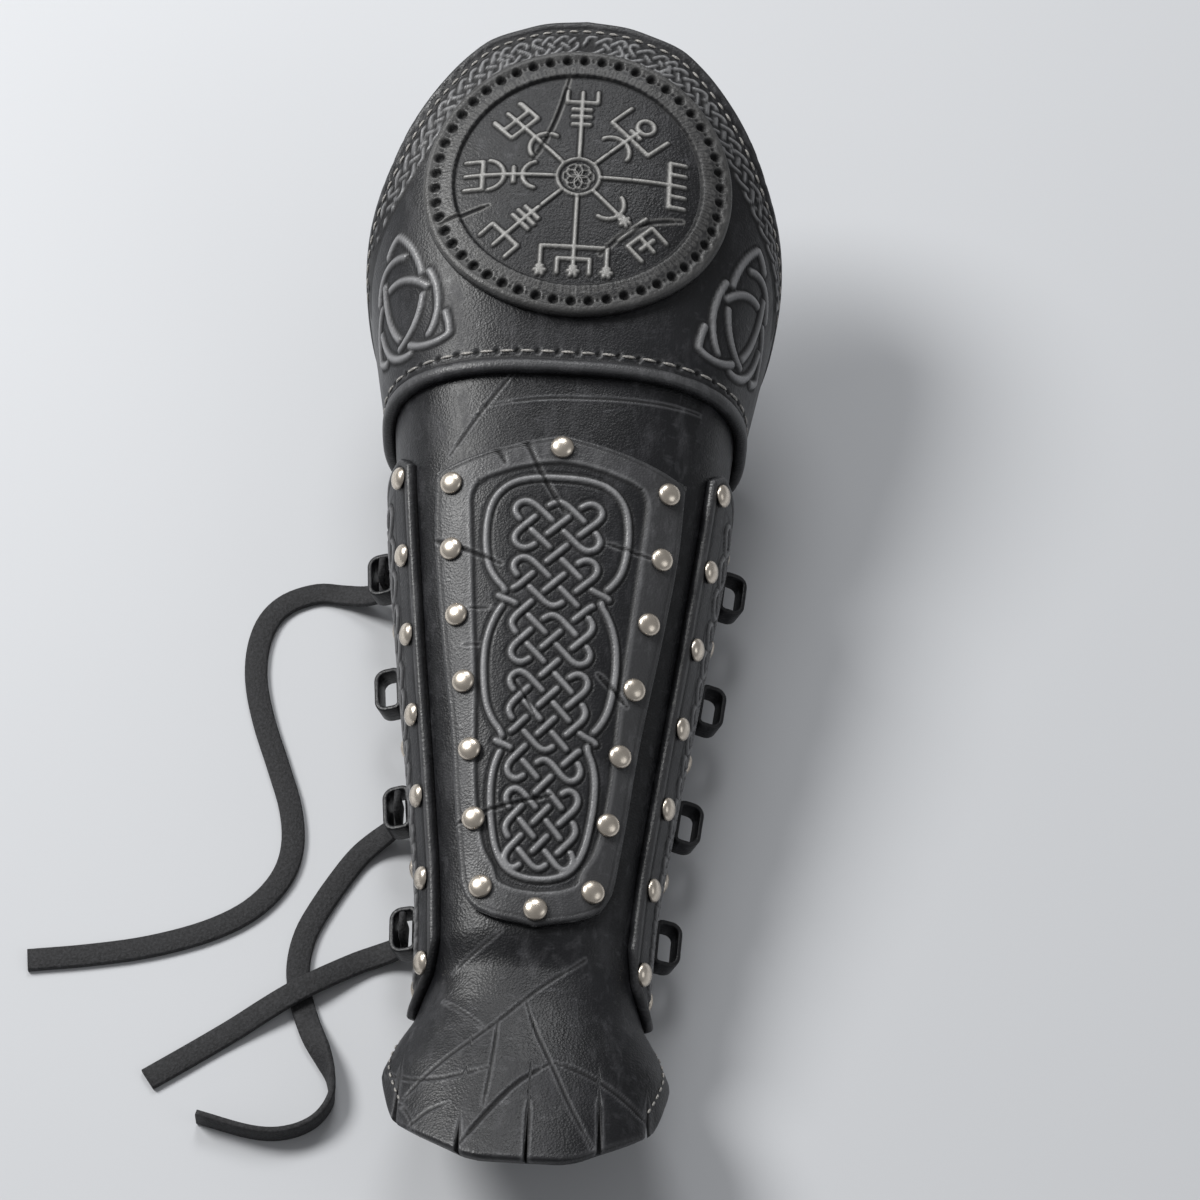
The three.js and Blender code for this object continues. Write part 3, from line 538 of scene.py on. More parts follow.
def leather_piece(name, angle, along, top, bottom, marks, nodes, finish, ring=False, coarse=4):
    """Closed sheet between two heights. Its face has every point of the grid, and its back fewer."""
    rows, columns = angle.shape
    upper = wrapped(angle, along, top).reshape(-1, 3)
    grid = np.arange(rows * columns).reshape(rows, columns)
    if ring:
        grid = np.hstack([grid, grid[:, :1]])
    quads = np.stack([grid[:-1, :-1], grid[:-1, 1:], grid[1:, 1:], grid[1:, :-1]], -1).reshape(-1, 4)
    faces = quads.tolist()
    row_pick = sorted(set(range(0, rows, coarse)) | {rows - 1})
    column_count = columns + 1 if ring else columns
    column_pick = sorted(set(range(0, column_count, coarse)) | {column_count - 1})
    kept = column_pick[:-1] if ring else column_pick
    pick = np.ix_(row_pick, kept)
    lower = wrapped(angle[pick], along[pick], np.broadcast_to(bottom, angle.shape)[pick]).reshape(-1, 3)
    back = np.arange(len(row_pick) * len(kept)).reshape(len(row_pick), len(kept)) + len(upper)
    if ring:
        back = np.hstack([back, back[:, :1]])
    quads = np.stack([back[:-1, :-1], back[1:, :-1], back[1:, 1:], back[:-1, 1:]], -1).reshape(-1, 4)
    faces += quads.tolist()
    for k, (a, b) in enumerate(zip(column_pick[:-1], column_pick[1:])):
        far = grid[-1, a : b + 1].tolist()
        faces.append([back[-1, k + 1], back[-1, k]] + far)
        if not ring:
            near = grid[0, a : b + 1].tolist()
            faces.append([back[0, k], back[0, k + 1]] + near[::-1])
    if ring:
        faces.append(grid[0, :-1].tolist()[::-1])
        faces.append(back[0, :-1].tolist())
    else:
        for k, (a, b) in enumerate(zip(row_pick[:-1], row_pick[1:])):
            left, right = grid[a : b + 1, 0].tolist(), grid[a : b + 1, -1].tolist()
            faces.append([back[k + 1, 0], back[k, 0]] + left)
            faces.append([back[k, -1], back[k + 1, -1]] + right[::-1])
    faces = [[int(v) for v in face] for face in faces]
    lower_count = len(lower)
    full = {key: np.concatenate([value.ravel(), np.zeros(lower_count)]) for key, value in marks.items()}
    return mesh_piece(name, np.vstack([upper, lower]), faces, nodes, finish, full)


class Mix:
    """A number carried by a node socket, which can stand in sums with other numbers."""

    def __init__(self, finish, socket):
        self.finish, self.socket = finish, socket

    def math(self, operation, a, b):
        values = [v.socket if isinstance(v, Mix) else v for v in (a, b)]
        node = self.finish.node("ShaderNodeMath", {"operation": operation}, {0: values[0], 1: values[1]})
        return Mix(self.finish, node.outputs[0])

    def __add__(self, other):
        return self.math("ADD", self, other)

    def __radd__(self, other):
        return self.math("ADD", other, self)

    def __sub__(self, other):
        return self.math("SUBTRACT", self, other)

    def __rsub__(self, other):
        return self.math("SUBTRACT", other, self)

    def __mul__(self, other):
        return self.math("MULTIPLY", self, other)

    def __rmul__(self, other):
        return self.math("MULTIPLY", other, self)


class Finish:
    """A material that is built from its nodes by name."""

    def __init__(self, name):
        self.material = bpy.data.materials.new(name)
        self.material.use_nodes = True
        self.tree = self.material.node_tree
        self.shader = self.tree.nodes["Principled BSDF"]
        self.place = self.node("ShaderNodeTexCoord").outputs["Object"]

    def node(self, kind, settings=None, inputs=None):
        node = self.tree.nodes.new(kind)
        for key, value in (settings or {}).items():
            if key == "stops":
                ramp = node.color_ramp
                while len(ramp.elements) < len(value):
                    ramp.elements.new(0.5)
                for element, (position, colour) in zip(ramp.elements, value):
                    element.position, element.color = position, (*colour, 1)
            else:
                setattr(node, key, value)
        for key, value in (inputs or {}).items():
            self.join(value, node.inputs[key])
        return node

    def join(self, value, socket):
        if isinstance(value, Mix):
            value = value.socket
        if isinstance(value, bpy.types.NodeSocket):
            self.tree.links.new(value, socket)
        else:
            socket.default_value = value

    def noise(self, scale, detail=4, rough=0.55, place=None):
        inputs = {"Scale": scale, "Detail": detail, "Roughness": rough, "Vector": place or self.place}
        return Mix(self, self.node("ShaderNodeTexNoise", None, inputs).outputs[0])

    def cells(self, scale, feature="F1"):
        inputs = {"Scale": scale, "Vector": self.place}
        return Mix(self, self.node("ShaderNodeTexVoronoi", {"feature": feature}, inputs).outputs[0])

    def stretched(self, scale):
        inputs = {0: self.place, 1: scale}
        return self.node("ShaderNodeVectorMath", {"operation": "MULTIPLY"}, inputs).outputs[0]

    def mark(self, name):
        return Mix(self, self.node("ShaderNodeAttribute", {"attribute_name": name}).outputs["Fac"])

    def ramp(self, value, low, high):
        stops = [(low, (0, 0, 0)), (high, (1, 1, 1))]
        return Mix(self, self.node("ShaderNodeValToRGB", {"stops": stops}, {"Fac": value}).outputs[0])

    def blend(self, share, a, b):
        node = self.node("ShaderNodeMix", {"data_type": "RGBA"}, {0: share})
        for value, key in ((a, 6), (b, 7)):
            self.join((*value, 1) if isinstance(value, tuple) else value, node.inputs[key])
        return node.outputs[2]

    def bumps(self, heights):
        """Bumps of (height, strength, distance in metres), one over the other."""
        normal = None
        for height, strength, distance in heights:
            inputs = {"Height": height, "Strength": strength, "Distance": distance}
            if normal is not None:
                inputs["Normal"] = normal
            normal = self.node("ShaderNodeBump", None, inputs).outputs[0]
        return normal

    def finish(self, **sockets):
        for key, value in sockets.items():
            self.join((*value, 1) if isinstance(value, tuple) else value, self.shader.inputs[key.replace("_", " ")])
        return self.material


def leather_finish(name, face, relief_wear_and_highlight, sheen, gloss, grain, stipple=0.0):
    """Black leather: fine pores, scuffs and brushed scratches with a painted sheen, raised relief painted pale as
    partly wear and partly painted highlight, and hollows of the tooling darkened as painted shade.
    """
    finish = Finish(name)
    dark, bright = finish.mark("dark"), finish.mark("bright")
    clouds = finish.ramp(finish.noise(26, 5, 0.6), 0.36, 0.68)
    scuffs = finish.ramp(finish.noise(150, 6, 0.72, finish.stretched((1.0, 0.32, 1.0))), 0.5, 0.72)
    lines = finish.ramp(finish.noise(420, 3, 0.5, finish.stretched((0.35, 1.0, 1.0))), 0.6, 0.78)
    cross = finish.ramp(finish.noise(380, 3, 0.5, finish.stretched((1.0, 0.3, 1.0))), 0.61, 0.78)
    pores = finish.cells(1250 / grain)
    base = finish.blend(clouds * 0.75, face, tuple(v * 1.9 for v in face))
    # scuffs and scratch lines lightened towards the sheen colour: painted sheen
    base = finish.blend(scuffs * 0.26 + lines * 0.26 + cross * 0.26, base, sheen)
    # raised relief painted towards a pale colour: partly wear, partly painted highlight
    relief = finish.blend(bright, base, relief_wear_and_highlight)
    scuffed_wear_and_highlight = finish.blend(bright * scuffs * 0.5, relief, tuple(min(v * 1.5, 1) for v in relief_wear_and_highlight))
    # hollows pushed near black: painted shade
    colour = finish.blend(dark * 0.93, scuffed_wear_and_highlight, (0.003, 0.003, 0.0035))
    rough = gloss + clouds * 0.12 + scuffs * 0.16 - lines * 0.08 - bright * 0.1 + dark * 0.3
    normal = finish.bumps([
        (finish.noise(60, 4, 0.6), 0.25, 0.0008),
        (pores, 0.42, 0.00022 * grain),
        (finish.noise(760, 3, 0.6), 0.28 + stipple, 0.00022),
    ])
    return finish.finish(Base_Color=colour, Roughness=rough, Normal=normal, Specular_IOR_Level=0.36)


def nickel_finish():
    finish = Finish("brushed_nickel")
    cloud = finish.ramp(finish.noise(500, 4, 0.6), 0.35, 0.7)
    colour = finish.blend(cloud, (0.72, 0.65, 0.56), (0.55, 0.49, 0.42))
    normal = finish.bumps([(finish.noise(900, 2, 0.5), 0.06, 0.0002)])
    return finish.finish(Base_Color=colour, Metallic=0.92, Roughness=0.26 + cloud * 0.08, Normal=normal)


def lace_finish():
    finish = Finish("lace_leather")
    fibre = finish.noise(900, 4, 0.7)
    colour = finish.blend(finish.ramp(fibre, 0.4, 0.7), (0.008, 0.008, 0.009), (0.032, 0.032, 0.035))
    normal = finish.bumps([(fibre, 0.7, 0.0004), (finish.cells(1300), 0.4, 0.0003)])
    return finish.finish(Base_Color=colour, Roughness=0.78, Normal=normal)


def paper_finish():
    finish = Finish("pale_floor")
    cloud = finish.noise(3, 2, 0.5)
    return finish.finish(Base_Color=finish.blend(cloud, (0.56, 0.57, 0.59), (0.59, 0.6, 0.62)), Roughness=0.9)


# Colours: face, pale raised relief (partly wear, partly painted highlight), painted sheen of scuffs and scratches
plain_leather = leather_finish("plain_leather", (0.0055, 0.0057, 0.0068), (0.16, 0.16, 0.168), (0.085, 0.085, 0.093), 0.35, 1.0)
carved_leather = leather_finish("carved_leather", (0.0068, 0.007, 0.0082), (0.22, 0.22, 0.226), (0.085, 0.085, 0.093), 0.34, 1.0)
medallion_leather = leather_finish("medallion_leather", (0.008, 0.0082, 0.0092), (0.29, 0.285, 0.275), (0.085, 0.085, 0.092), 0.36, 1.1, 0.6)
lace_leather = lace_finish()
nickel = nickel_finish()


def make_camera():
    target, slope, roll = Vector(VIEW_POINT) * MM, math.radians(VIEW_ELEVATION), math.radians(VIEW_ROLL)
    ahead = Vector((0, math.cos(slope), -math.sin(slope)))
    right = Vector((1, 0, 0))
    above = right.cross(ahead)
    turned_right = right * math.cos(roll) + above * math.sin(roll)
    turned_up = above * math.cos(roll) - right * math.sin(roll)
    data = bpy.data.cameras.new("photo_view")
    data.lens, data.sensor_width, data.clip_end = VIEW_LENS, 36, 20
    camera = bpy.data.objects.new("photo_view", data)
    turn = Matrix((turned_right, turned_up, -ahead)).transposed().to_4x4()
    camera.matrix_world = Matrix.Translation(target - ahead * VIEW_DISTANCE * MM) @ turn
    bpy.context.collection.objects.link(camera)
    bpy.context.scene.camera = camera


def make_studio():
    floor_mesh = bpy.data.meshes.new("floor")
    corners = [(-4, -4, 0), (4, -4, 0), (4, 4, 0), (-4, 4, 0)]
    floor_mesh.from_pydata(corners, [], [(0, 1, 2, 3)])
    floor_mesh.materials.append(paper_finish())
    floor = bpy.data.objects.new("floor", floor_mesh)
    bpy.context.collection.objects.link(floor)
    world = bpy.data.worlds.new("studio")
    world.use_nodes = True
    world.node_tree.nodes["Background"].inputs[0].default_value = (0.86, 0.87, 0.89, 1)
    world.node_tree.nodes["Background"].inputs[1].default_value = 0.27
    bpy.context.scene.world = world
    for name, place, size, power, colour in (
        ("window_left", (-1.15, 0.5, 1.3), 0.75, 30.0, (1.0, 1.0, 0.99)),
        ("window_top", (-0.1, 1.15, 1.4), 0.8, 10.5, (0.98, 0.99, 1.0)),
        ("fill_right", (1.2, -0.5, 0.9), 0.9, 2.0, (0.96, 0.98, 1.0)),
    ):
        light = bpy.data.lights.new(name, "AREA")
        light.shape, light.size, light.energy, light.color = "DISK", size, power, colour
        lamp = bpy.data.objects.new(name, light)
        lamp.location = place
        lamp.rotation_euler = (Vector((0, 0, 0.05)) - Vector(place)).to_track_quat("-Z", "Y").to_euler()
        bpy.context.collection.objects.link(lamp)
    bpy.context.scene.view_settings.view_transform = "Standard"


def lace_frames(route, parts=5):
    """Close-set points of a lace, with its width and thickness directions."""
    points = np.array([row[:3] for row in route], float)
    stand = np.array([row[3] for row in route], float) * math.pi / 2
    padded = np.vstack([2 * points[0] - points[1], points, 2 * points[-1] - points[-2]])
    line, turn = [], []
    for i in range(len(points) - 1):
        a, b, c, d = padded[i : i + 4]
        for k in range(parts):
            u = k / parts
            line.append(0.5 * (2 * b + (c - a) * u + (2 * a - 5 * b + 4 * c - d) * u**2 + (3 * b - a - 3 * c + d) * u**3))
            turn.append(stand[i] * (1 - u) + stand[i + 1] * u)
    line, turn = np.array(line + [points[-1]]), np.array(turn + [stand[-1]])
    ahead = unit(np.gradient(line, axis=0))
    width = np.cross([0, 0, 1.0], ahead)
    width[:, 1] -= np.abs(ahead[:, 2])
    width = unit(width - ahead * np.sum(width * ahead, axis=1, keepdims=True))
    up = np.cross(ahead, width)
    sine, cosine = np.sin(turn)[:, None], np.cos(turn)[:, None]
    return line, width * cosine + up * sine, up * cosine - width * sine


def tube(line, width, up, section):
    """Points and faces of a section swept along a line, closed at both ends."""
    section = np.array(section)
    ring = line[:, None] + width[:, None] * section[None, :, :1] + up[:, None] * section[None, :, 1:]
    sides = len(section)
    grid = np.arange(len(line) * sides).reshape(len(line), sides)
    grid = np.hstack([grid, grid[:, :1]])
    faces = np.stack([grid[:-1, :-1], grid[:-1, 1:], grid[1:, 1:], grid[1:, :-1]], -1).reshape(-1, 4).tolist()
    faces += [grid[0, :-1].tolist()[::-1], grid[-1, :-1].tolist()]
    return ring.reshape(-1, 3), faces


def strap_section(width, thickness, ease, corner=3):
    """Closed outline of a flat strap with rounded corners."""
    outline = []
    for x, y, start in ((1, 1, 0), (-1, 1, 90), (-1, -1, 180), (1, -1, 270)):
        for turn in np.radians(np.linspace(start, start + 90, corner)):
            outline.append((
                x * (width / 2 - ease) + ease * math.cos(turn),
                y * (thickness / 2 - ease) + ease * math.sin(turn),
            ))
    return outline


def make_laces():
    section = strap_section(LACE_WIDTH, LACE_THICKNESS, 0.6)
    for name, route in LACE_ROUTES.items():
        line, width, up = lace_frames(route)
        vertices, faces = tube(line, width, up, section)
        lace = mesh_piece(name, vertices, faces, [name], lace_leather)
        (line[0] * MM).tolist()
        (line * MM).tolist()


def make_shell():
    carving = Carving((-92, -6), (92, 300), 0.3)
    for points, width, depth in SLEEVE_CRACKS:
        carving.cut([round_path(points, 0.3)], width, depth)
    rng = np.random.default_rng(7)
    for _ in range(16):
        start = np.array([rng.uniform(-45, 45), rng.uniform(4, 80)])
        turn = rng.uniform(0, math.pi)
        end = start + rng.uniform(4, 10) * np.array([math.cos(turn), math.sin(turn)])
        halfway = (start + end) / 2 + rng.uniform(-0.8, 0.8, 2)
        carving.cut([even_path([start, halfway, end], 0.3)], 0.5, 0.1, 0.25, 0.02)
    for angle, run, half in TONGUE_SPLITS:
        end = (float(tongue_cut_at(abs(angle))) + run) * TONGUE
        line = [(float(distance_at(angle, t)), t) for t in np.linspace(end - 22, end + 1.5, 12)]
        # painted shadow darkens each split, with a painted highlight on its lips
        carving.cut([even_path(line, 0.3)], 1.9, 0.3, 1.0, 0.1)
    sides = spread(60, BACK_EDGE, 2.0, (0.5, 1.2, 2.4))[1:]
    turns = set(np.round(np.concatenate([-sides, np.linspace(-60, 60, 139), sides]), 3).tolist())
    for angle, _, half in TONGUE_SPLITS:
        wide = math.degrees(half / TONGUE_HALF_WIDTH)
        turns = {turn for turn in turns if abs(turn - angle) > wide * 1.6}
        turns |= {angle, angle - wide, angle + wide, angle - wide * 1.5, angle + wide * 1.5}
    turns = np.array(sorted(turns))
    cut = tongue_cut_at(np.abs(turns)) * TONGUE
    split = np.zeros(len(turns))
    for angle, run, half in TONGUE_SPLITS:
        wide = math.degrees(half / TONGUE_HALF_WIDTH)
        split += np.clip(1 - np.abs(turns - angle) / wide, 0, 1) * run * TONGUE
    start = cut + split
    share = spread(0, 1, 1 / 115, (0.003, 0.006, 0.011, 0.017))[:, None]
    low = cut + (TONGUE_GRID_END - cut) * share + split * (1 - share) ** 3
    levels = (TONGUE_GRID_END, 242, CRACKED_TOP, CUFF_START + SLEEVE_TUCK)
    high = np.concatenate([np.linspace(a, b, n)[1:] for a, b, n in zip(levels, levels[1:], (42, 84, 10))])
    high = high[:, None] + 0 * cut
    along = np.vstack([low, high])
    angle = np.broadcast_to(turns, along.shape)
    s = distance_at(angle, along)
    edge = np.minimum(along - start[None, :], 40)
    side = (BACK_EDGE - np.abs(angle)) * 0.7
    height = carving.read(carving.height, s, along) - edge_drop(edge, 1.3) - edge_drop(side, 1.2)
    # rim: painted highlight along the rounded cut edge
    rim = np.clip(1 - np.abs(edge - 1.2) / 1.4, 0, 1)
    marks = {
        "dark": carving.read(carving.dark, s, along),
        "bright": np.clip(carving.read(carving.bright, s, along) + rim * 0.12, 0, 1),
    }
    leather_piece("shell", angle, along, height, -LEATHER, marks, ["shell"], plain_leather)


TONGUE_GRID_END = 92.0
CRACKED_TOP = 282.0

# Cracks and cuts of the sleeve and its tongue: points, width, depth
SLEEVE_CRACKS = [
    ([(-18.3, 278.8), (-29, 264.5), (-39.4, 250)], 1.1, 0.6),
    ([(-25.2, 266.8), (-8, 269.4), (3.2, 270), (24, 270.8), (48.8, 272.6)], 0.8, 0.35),
    ([(-10.6, 83), (-18, 77.6), (-27, 71)], 0.8, 0.35),
    ([(17.2, 75.8), (2, 64), (-12, 49), (-30, 34), (-45, 20)], 1.0, 0.5),
    ([(-29.6, 60.7), (-21, 55), (-13.9, 48.1)], 0.7, 0.3),
    ([(-9.9, 51.2), (-11.3, 31.6), (-12.8, 19.4)], 0.9, 0.45),
    ([(-1.3, 59.2), (2.8, 47), (8.6, 34.6), (15, 20), (22.6, 6.6)], 1.0, 0.5),
    ([(7.6, 36), (-2, 29), (-10, 19), (-19.5, 5.5)], 1.5, 0.8),
    ([(9.2, 36.2), (18, 34), (30, 28), (43, 19.8)], 1.4, 0.7),
    ([(-50.8, 36.7), (-38, 30.4), (-26, 29.6), (-12, 33.4)], 1.0, 0.5),
    ([(-37.6, 13.3), (-31, 18.4), (-24, 20.6)], 1.0, 0.5),
    ([(-41, 22), (-37, 16.5), (-36, 12)], 0.7, 0.35),
]


def cuff_top(angle):
    return CUFF_START + CUFF_BACK + dome_rise_at(np.abs(angle)) * (LENGTH - CUFF_START - CUFF_BACK)


def dome_line(inset, reach=96.0):
    """Line inside the dome's edge, on the flat leather."""
    angle = np.linspace(-reach, reach, 400)
    along = cuff_top(angle)
    points = np.stack([distance_at(angle, along), along], 1)
    points = even_path(points, 0.8)
    way = unit(np.gradient(points, axis=0))
    inward = np.stack([way[:, 1], -way[:, 0]], 1)
    return points + inward * inset, inward


def triquetra(tips, width):
    """Three pointed arcs that run through each other, with a ring woven through them."""
    arcs = []
    for i in (0, 2, 1):
        turn = 90 + 120 * i
        centre = (math.cos(math.radians(turn)) / math.sqrt(3), math.sin(math.radians(turn)) / math.sqrt(3))
        arcs.append(arc_path(centre, 1.0, turn + 90, turn + 270, 0.02)[:-1])
    ring = arc_path((0, 0), 0.8, 0, 360, 0.02)
    unit_tips = np.array([(0, -2 / math.sqrt(3), 1), (1, 1 / math.sqrt(3), 1), (-1, 1 / math.sqrt(3), 1)])
    fit = np.linalg.solve(unit_tips, np.array(tips))
    paths = []
    for path in (np.vstack(arcs), ring):
        flat = np.hstack([path, np.ones((len(path), 1))]) @ fit
        paths.append(even_path(flat, 0.5, True))
    return weave(paths, width / 2, 0.1)


def make_elbow_cuff():
    carving = Carving((-122, 276), (122, 424), 0.33)
    band, inward = dome_line(10.6)
    rows = 46
    breaks = [(x, y) for y in range(10, 2 * rows - 8, 14) for x in (1, 3)]
    knot = plait(2, rows, level=breaks + [(2, y) for y in range(17, 2 * rows - 8, 28)])
    paths = []
    for strand in knot:
        curve = round_path(strand, 0.15, True, 2)
        at = 0.05 + curve[:, 1] / (2 * rows) * 0.9
        index = at * (len(band) - 1)
        taper = np.clip(np.minimum(at - 0.02, 0.98 - at) * 8, 0.3, 1)
        middle = np.stack([np.interp(index, np.arange(len(band)), band[:, k]) for k in (0, 1)], 1)
        side = np.stack([np.interp(index, np.arange(len(band)), inward[:, k]) for k in (0, 1)], 1)
        paths.append(middle + side * ((curve[:, 0] / 2 - 1) * 4.5 * taper)[:, None])
    ground = carving.distance([band[14:-14]], 6.0)
    # recessed ground round the knot band darkened as painted shade
    carving.dark = np.maximum(carving.dark, 0.75 * (1 - smooth_step(ground, 4.9, 5.6)))
    carving.height -= 0.35 * (1 - smooth_step(ground, 4.9, 5.6))
    carving.strand(weave(paths, 0.75, 0.2), 1.5, 0.75, 0.4, 1.0)
    pits = even_path(dome_line(4.6, 90)[0], 4.7)
    carving.dots(pits, 0.7, 0.5, 0.95)
    carving.strand(triquetra([(-63.5, 336), (-41, 294), (-78, 299)], 2.8), 2.7, 1.0, 0.75, 0.95)
    carving.strand(triquetra([(67, 340), (44.6, 294.6), (79, 300)], 2.8), 2.7, 1.0, 0.75, 0.95)
    seam = CUFF_START + 7.4
    places = np.arange(-14.5, 15) * SEAM_PITCH
    carving.dots([(place, seam) for place in places], 1.15, 1.0)
    carving.cut([np.array([(a + 1, seam), (a + SEAM_PITCH - 1, seam)]) for a in places[:-1]], 1.0, 0.3, 0.5, 0.2)
    reach = angle_at(118, CUFF_START + 20)
    turns = np.unique(np.round(np.concatenate([
        spread(-BACK_EDGE, -reach, 3.0, (0.5, 1.5)), np.linspace(-reach, reach, 330), spread(reach, BACK_EDGE, 3.0, (0.5, 1.5)),
    ]), 4))
    share = spread(0, 1, 1 / 185, (0.002, 0.005, 0.009))
    along = CUFF_START + (cuff_top(turns)[None, :] - CUFF_START) * share[:, None]
    angle = np.broadcast_to(turns, along.shape)
    s = distance_at(angle, along)
    edge_line = np.stack([distance_at(np.linspace(-150, 150, 90), cuff_top(np.linspace(-150, 150, 90))), cuff_top(np.linspace(-150, 150, 90))], 1)
    far = np.sqrt(np.min([(s - x) ** 2 + (along - y) ** 2 for x, y in edge_line], axis=0))
    edge = np.minimum(far, (cuff_top(turns)[None, :] - along))
    hem = along - CUFF_START
    side = (BACK_EDGE - np.abs(angle)) * 0.9
    hem_share = 1 - smooth_step(np.abs(angle), 112, 120)
    # rolled hem and edge binding are painted lighter below as a painted highlight
    roll = np.sqrt(np.clip(1 - ((hem - 2.3) / 2.3) ** 2, 0, 1)) * hem_share
    binding = np.sqrt(np.clip(1 - ((edge - 1.5) / 1.7) ** 2, 0, 1)) * hem_share
    height = carving.read(carving.height, s, along) + 1.2 * roll + 0.45 * binding * (edge < 3.2)
    height = height - edge_drop(edge, 1.3) - edge_drop(side, 1.2) - edge_drop(hem, 1.4)
    # grooves below the hem and inside the edge darkened as painted shade
    groove = np.exp(-(((hem - 5.1) / 0.45) ** 2)) * hem_share + np.exp(-(((edge - 3.6) / 0.4) ** 2))
    height = height - 0.3 * groove
    marks = {
        "dark": np.clip(carving.read(carving.dark, s, along) + groove * 0.8, 0, 1),
        "bright": np.clip(carving.read(carving.bright, s, along) + roll * 0.22 + binding * (edge < 3.2) * 0.1, 0, 1),
    }
    top = ON_SLEEVE + LEATHER + height
    leather_piece("elbow_cuff", angle, along, top, ON_SLEEVE, marks, ["elbow_cuff"], carved_leather)


SEAM_PITCH = 6.9


def stem(start, end):
    return [(start, 0), (end, 0)]


def bar(reach, half, shift=0.0):
    return [(reach, shift - half), (reach, shift + half)]


def bracket(reach, half, end):
    return [(end, -half), (reach, -half), (reach, half), (end, half)]


def crescent(centre, radius, spread_turn, inwards=False):
    start = 180 if inwards else 0
    return arc_path((centre, 0), radius, start - spread_turn, start + spread_turn)


def star(reach, across, size):
    lines = []
    for turn in (30, 90, 150):
        x, y = size * math.cos(math.radians(turn)), size * math.sin(math.radians(turn))
        lines.append([(reach - x, across - y), (reach + x, across + y)])
    return lines


def stave_arms():
    """The eight arms, each as lines of (reach out from the hub, distance across the arm)."""
    return [
        (0, [stem(8, 35.4), bracket(31.2, 5.4, 35.6), bar(28.1, 3.2), bar(25.1, 3.2), bar(21.8, 3.0)]),
        (45, [stem(8, 13.6), stem(15, 29), arc_path((31.6, 0), 2.9, 0, 360), bar(26.8, 2.2),
              crescent(15.4, 6.2, 72), bracket(24.2, 9, 33.2)]),
        (90, [stem(8, 18), stem(19, 36.4), bar(31.2, 9), [(31.2, -8.8), (36.4, -8.8)], [(31.2, -4.4), (36.4, -4.4)],
              [(31.2, 4.4), (36.4, 4.4)], [(31.2, 8.8), (36.4, 8.8)]]),
        (135, [stem(8, 21.6), crescent(15, 5.6, 78), *star(23.6, 0, 1.7), bar(27.4, 6.2), bracket(31.2, 5.6, 38.2),
               stem(31.2, 38), bar(34.8, 2.8)]),
        (180, [stem(8, 37), bracket(27.6, 11.4, 36), bracket(32.2, 5.6, 37.6), *star(36.8, 11.4, 1.7),
               *star(36.8, -11.4, 1.7), *star(36.8, 0, 1.7)]),
        (225, [stem(8, 16.6), stem(18.4, 38.6), bar(21.4, 3.2), bar(24, 3.8), bar(26.6, 3.8), bracket(33.4, 6.2, 39)]),
        (270, [stem(8, 38.4), crescent(13.8, 5.4, 76), bar(22.2, 3), crescent(31.4, 6, 80, True), bracket(32.6, 5.6, 38.4)]),
        (315, [stem(8, 16.4), stem(18, 36), crescent(16, 6, 76), bracket(27.4, 6, 36), bracket(31.8, 5.6, 36.4)]),
    ]


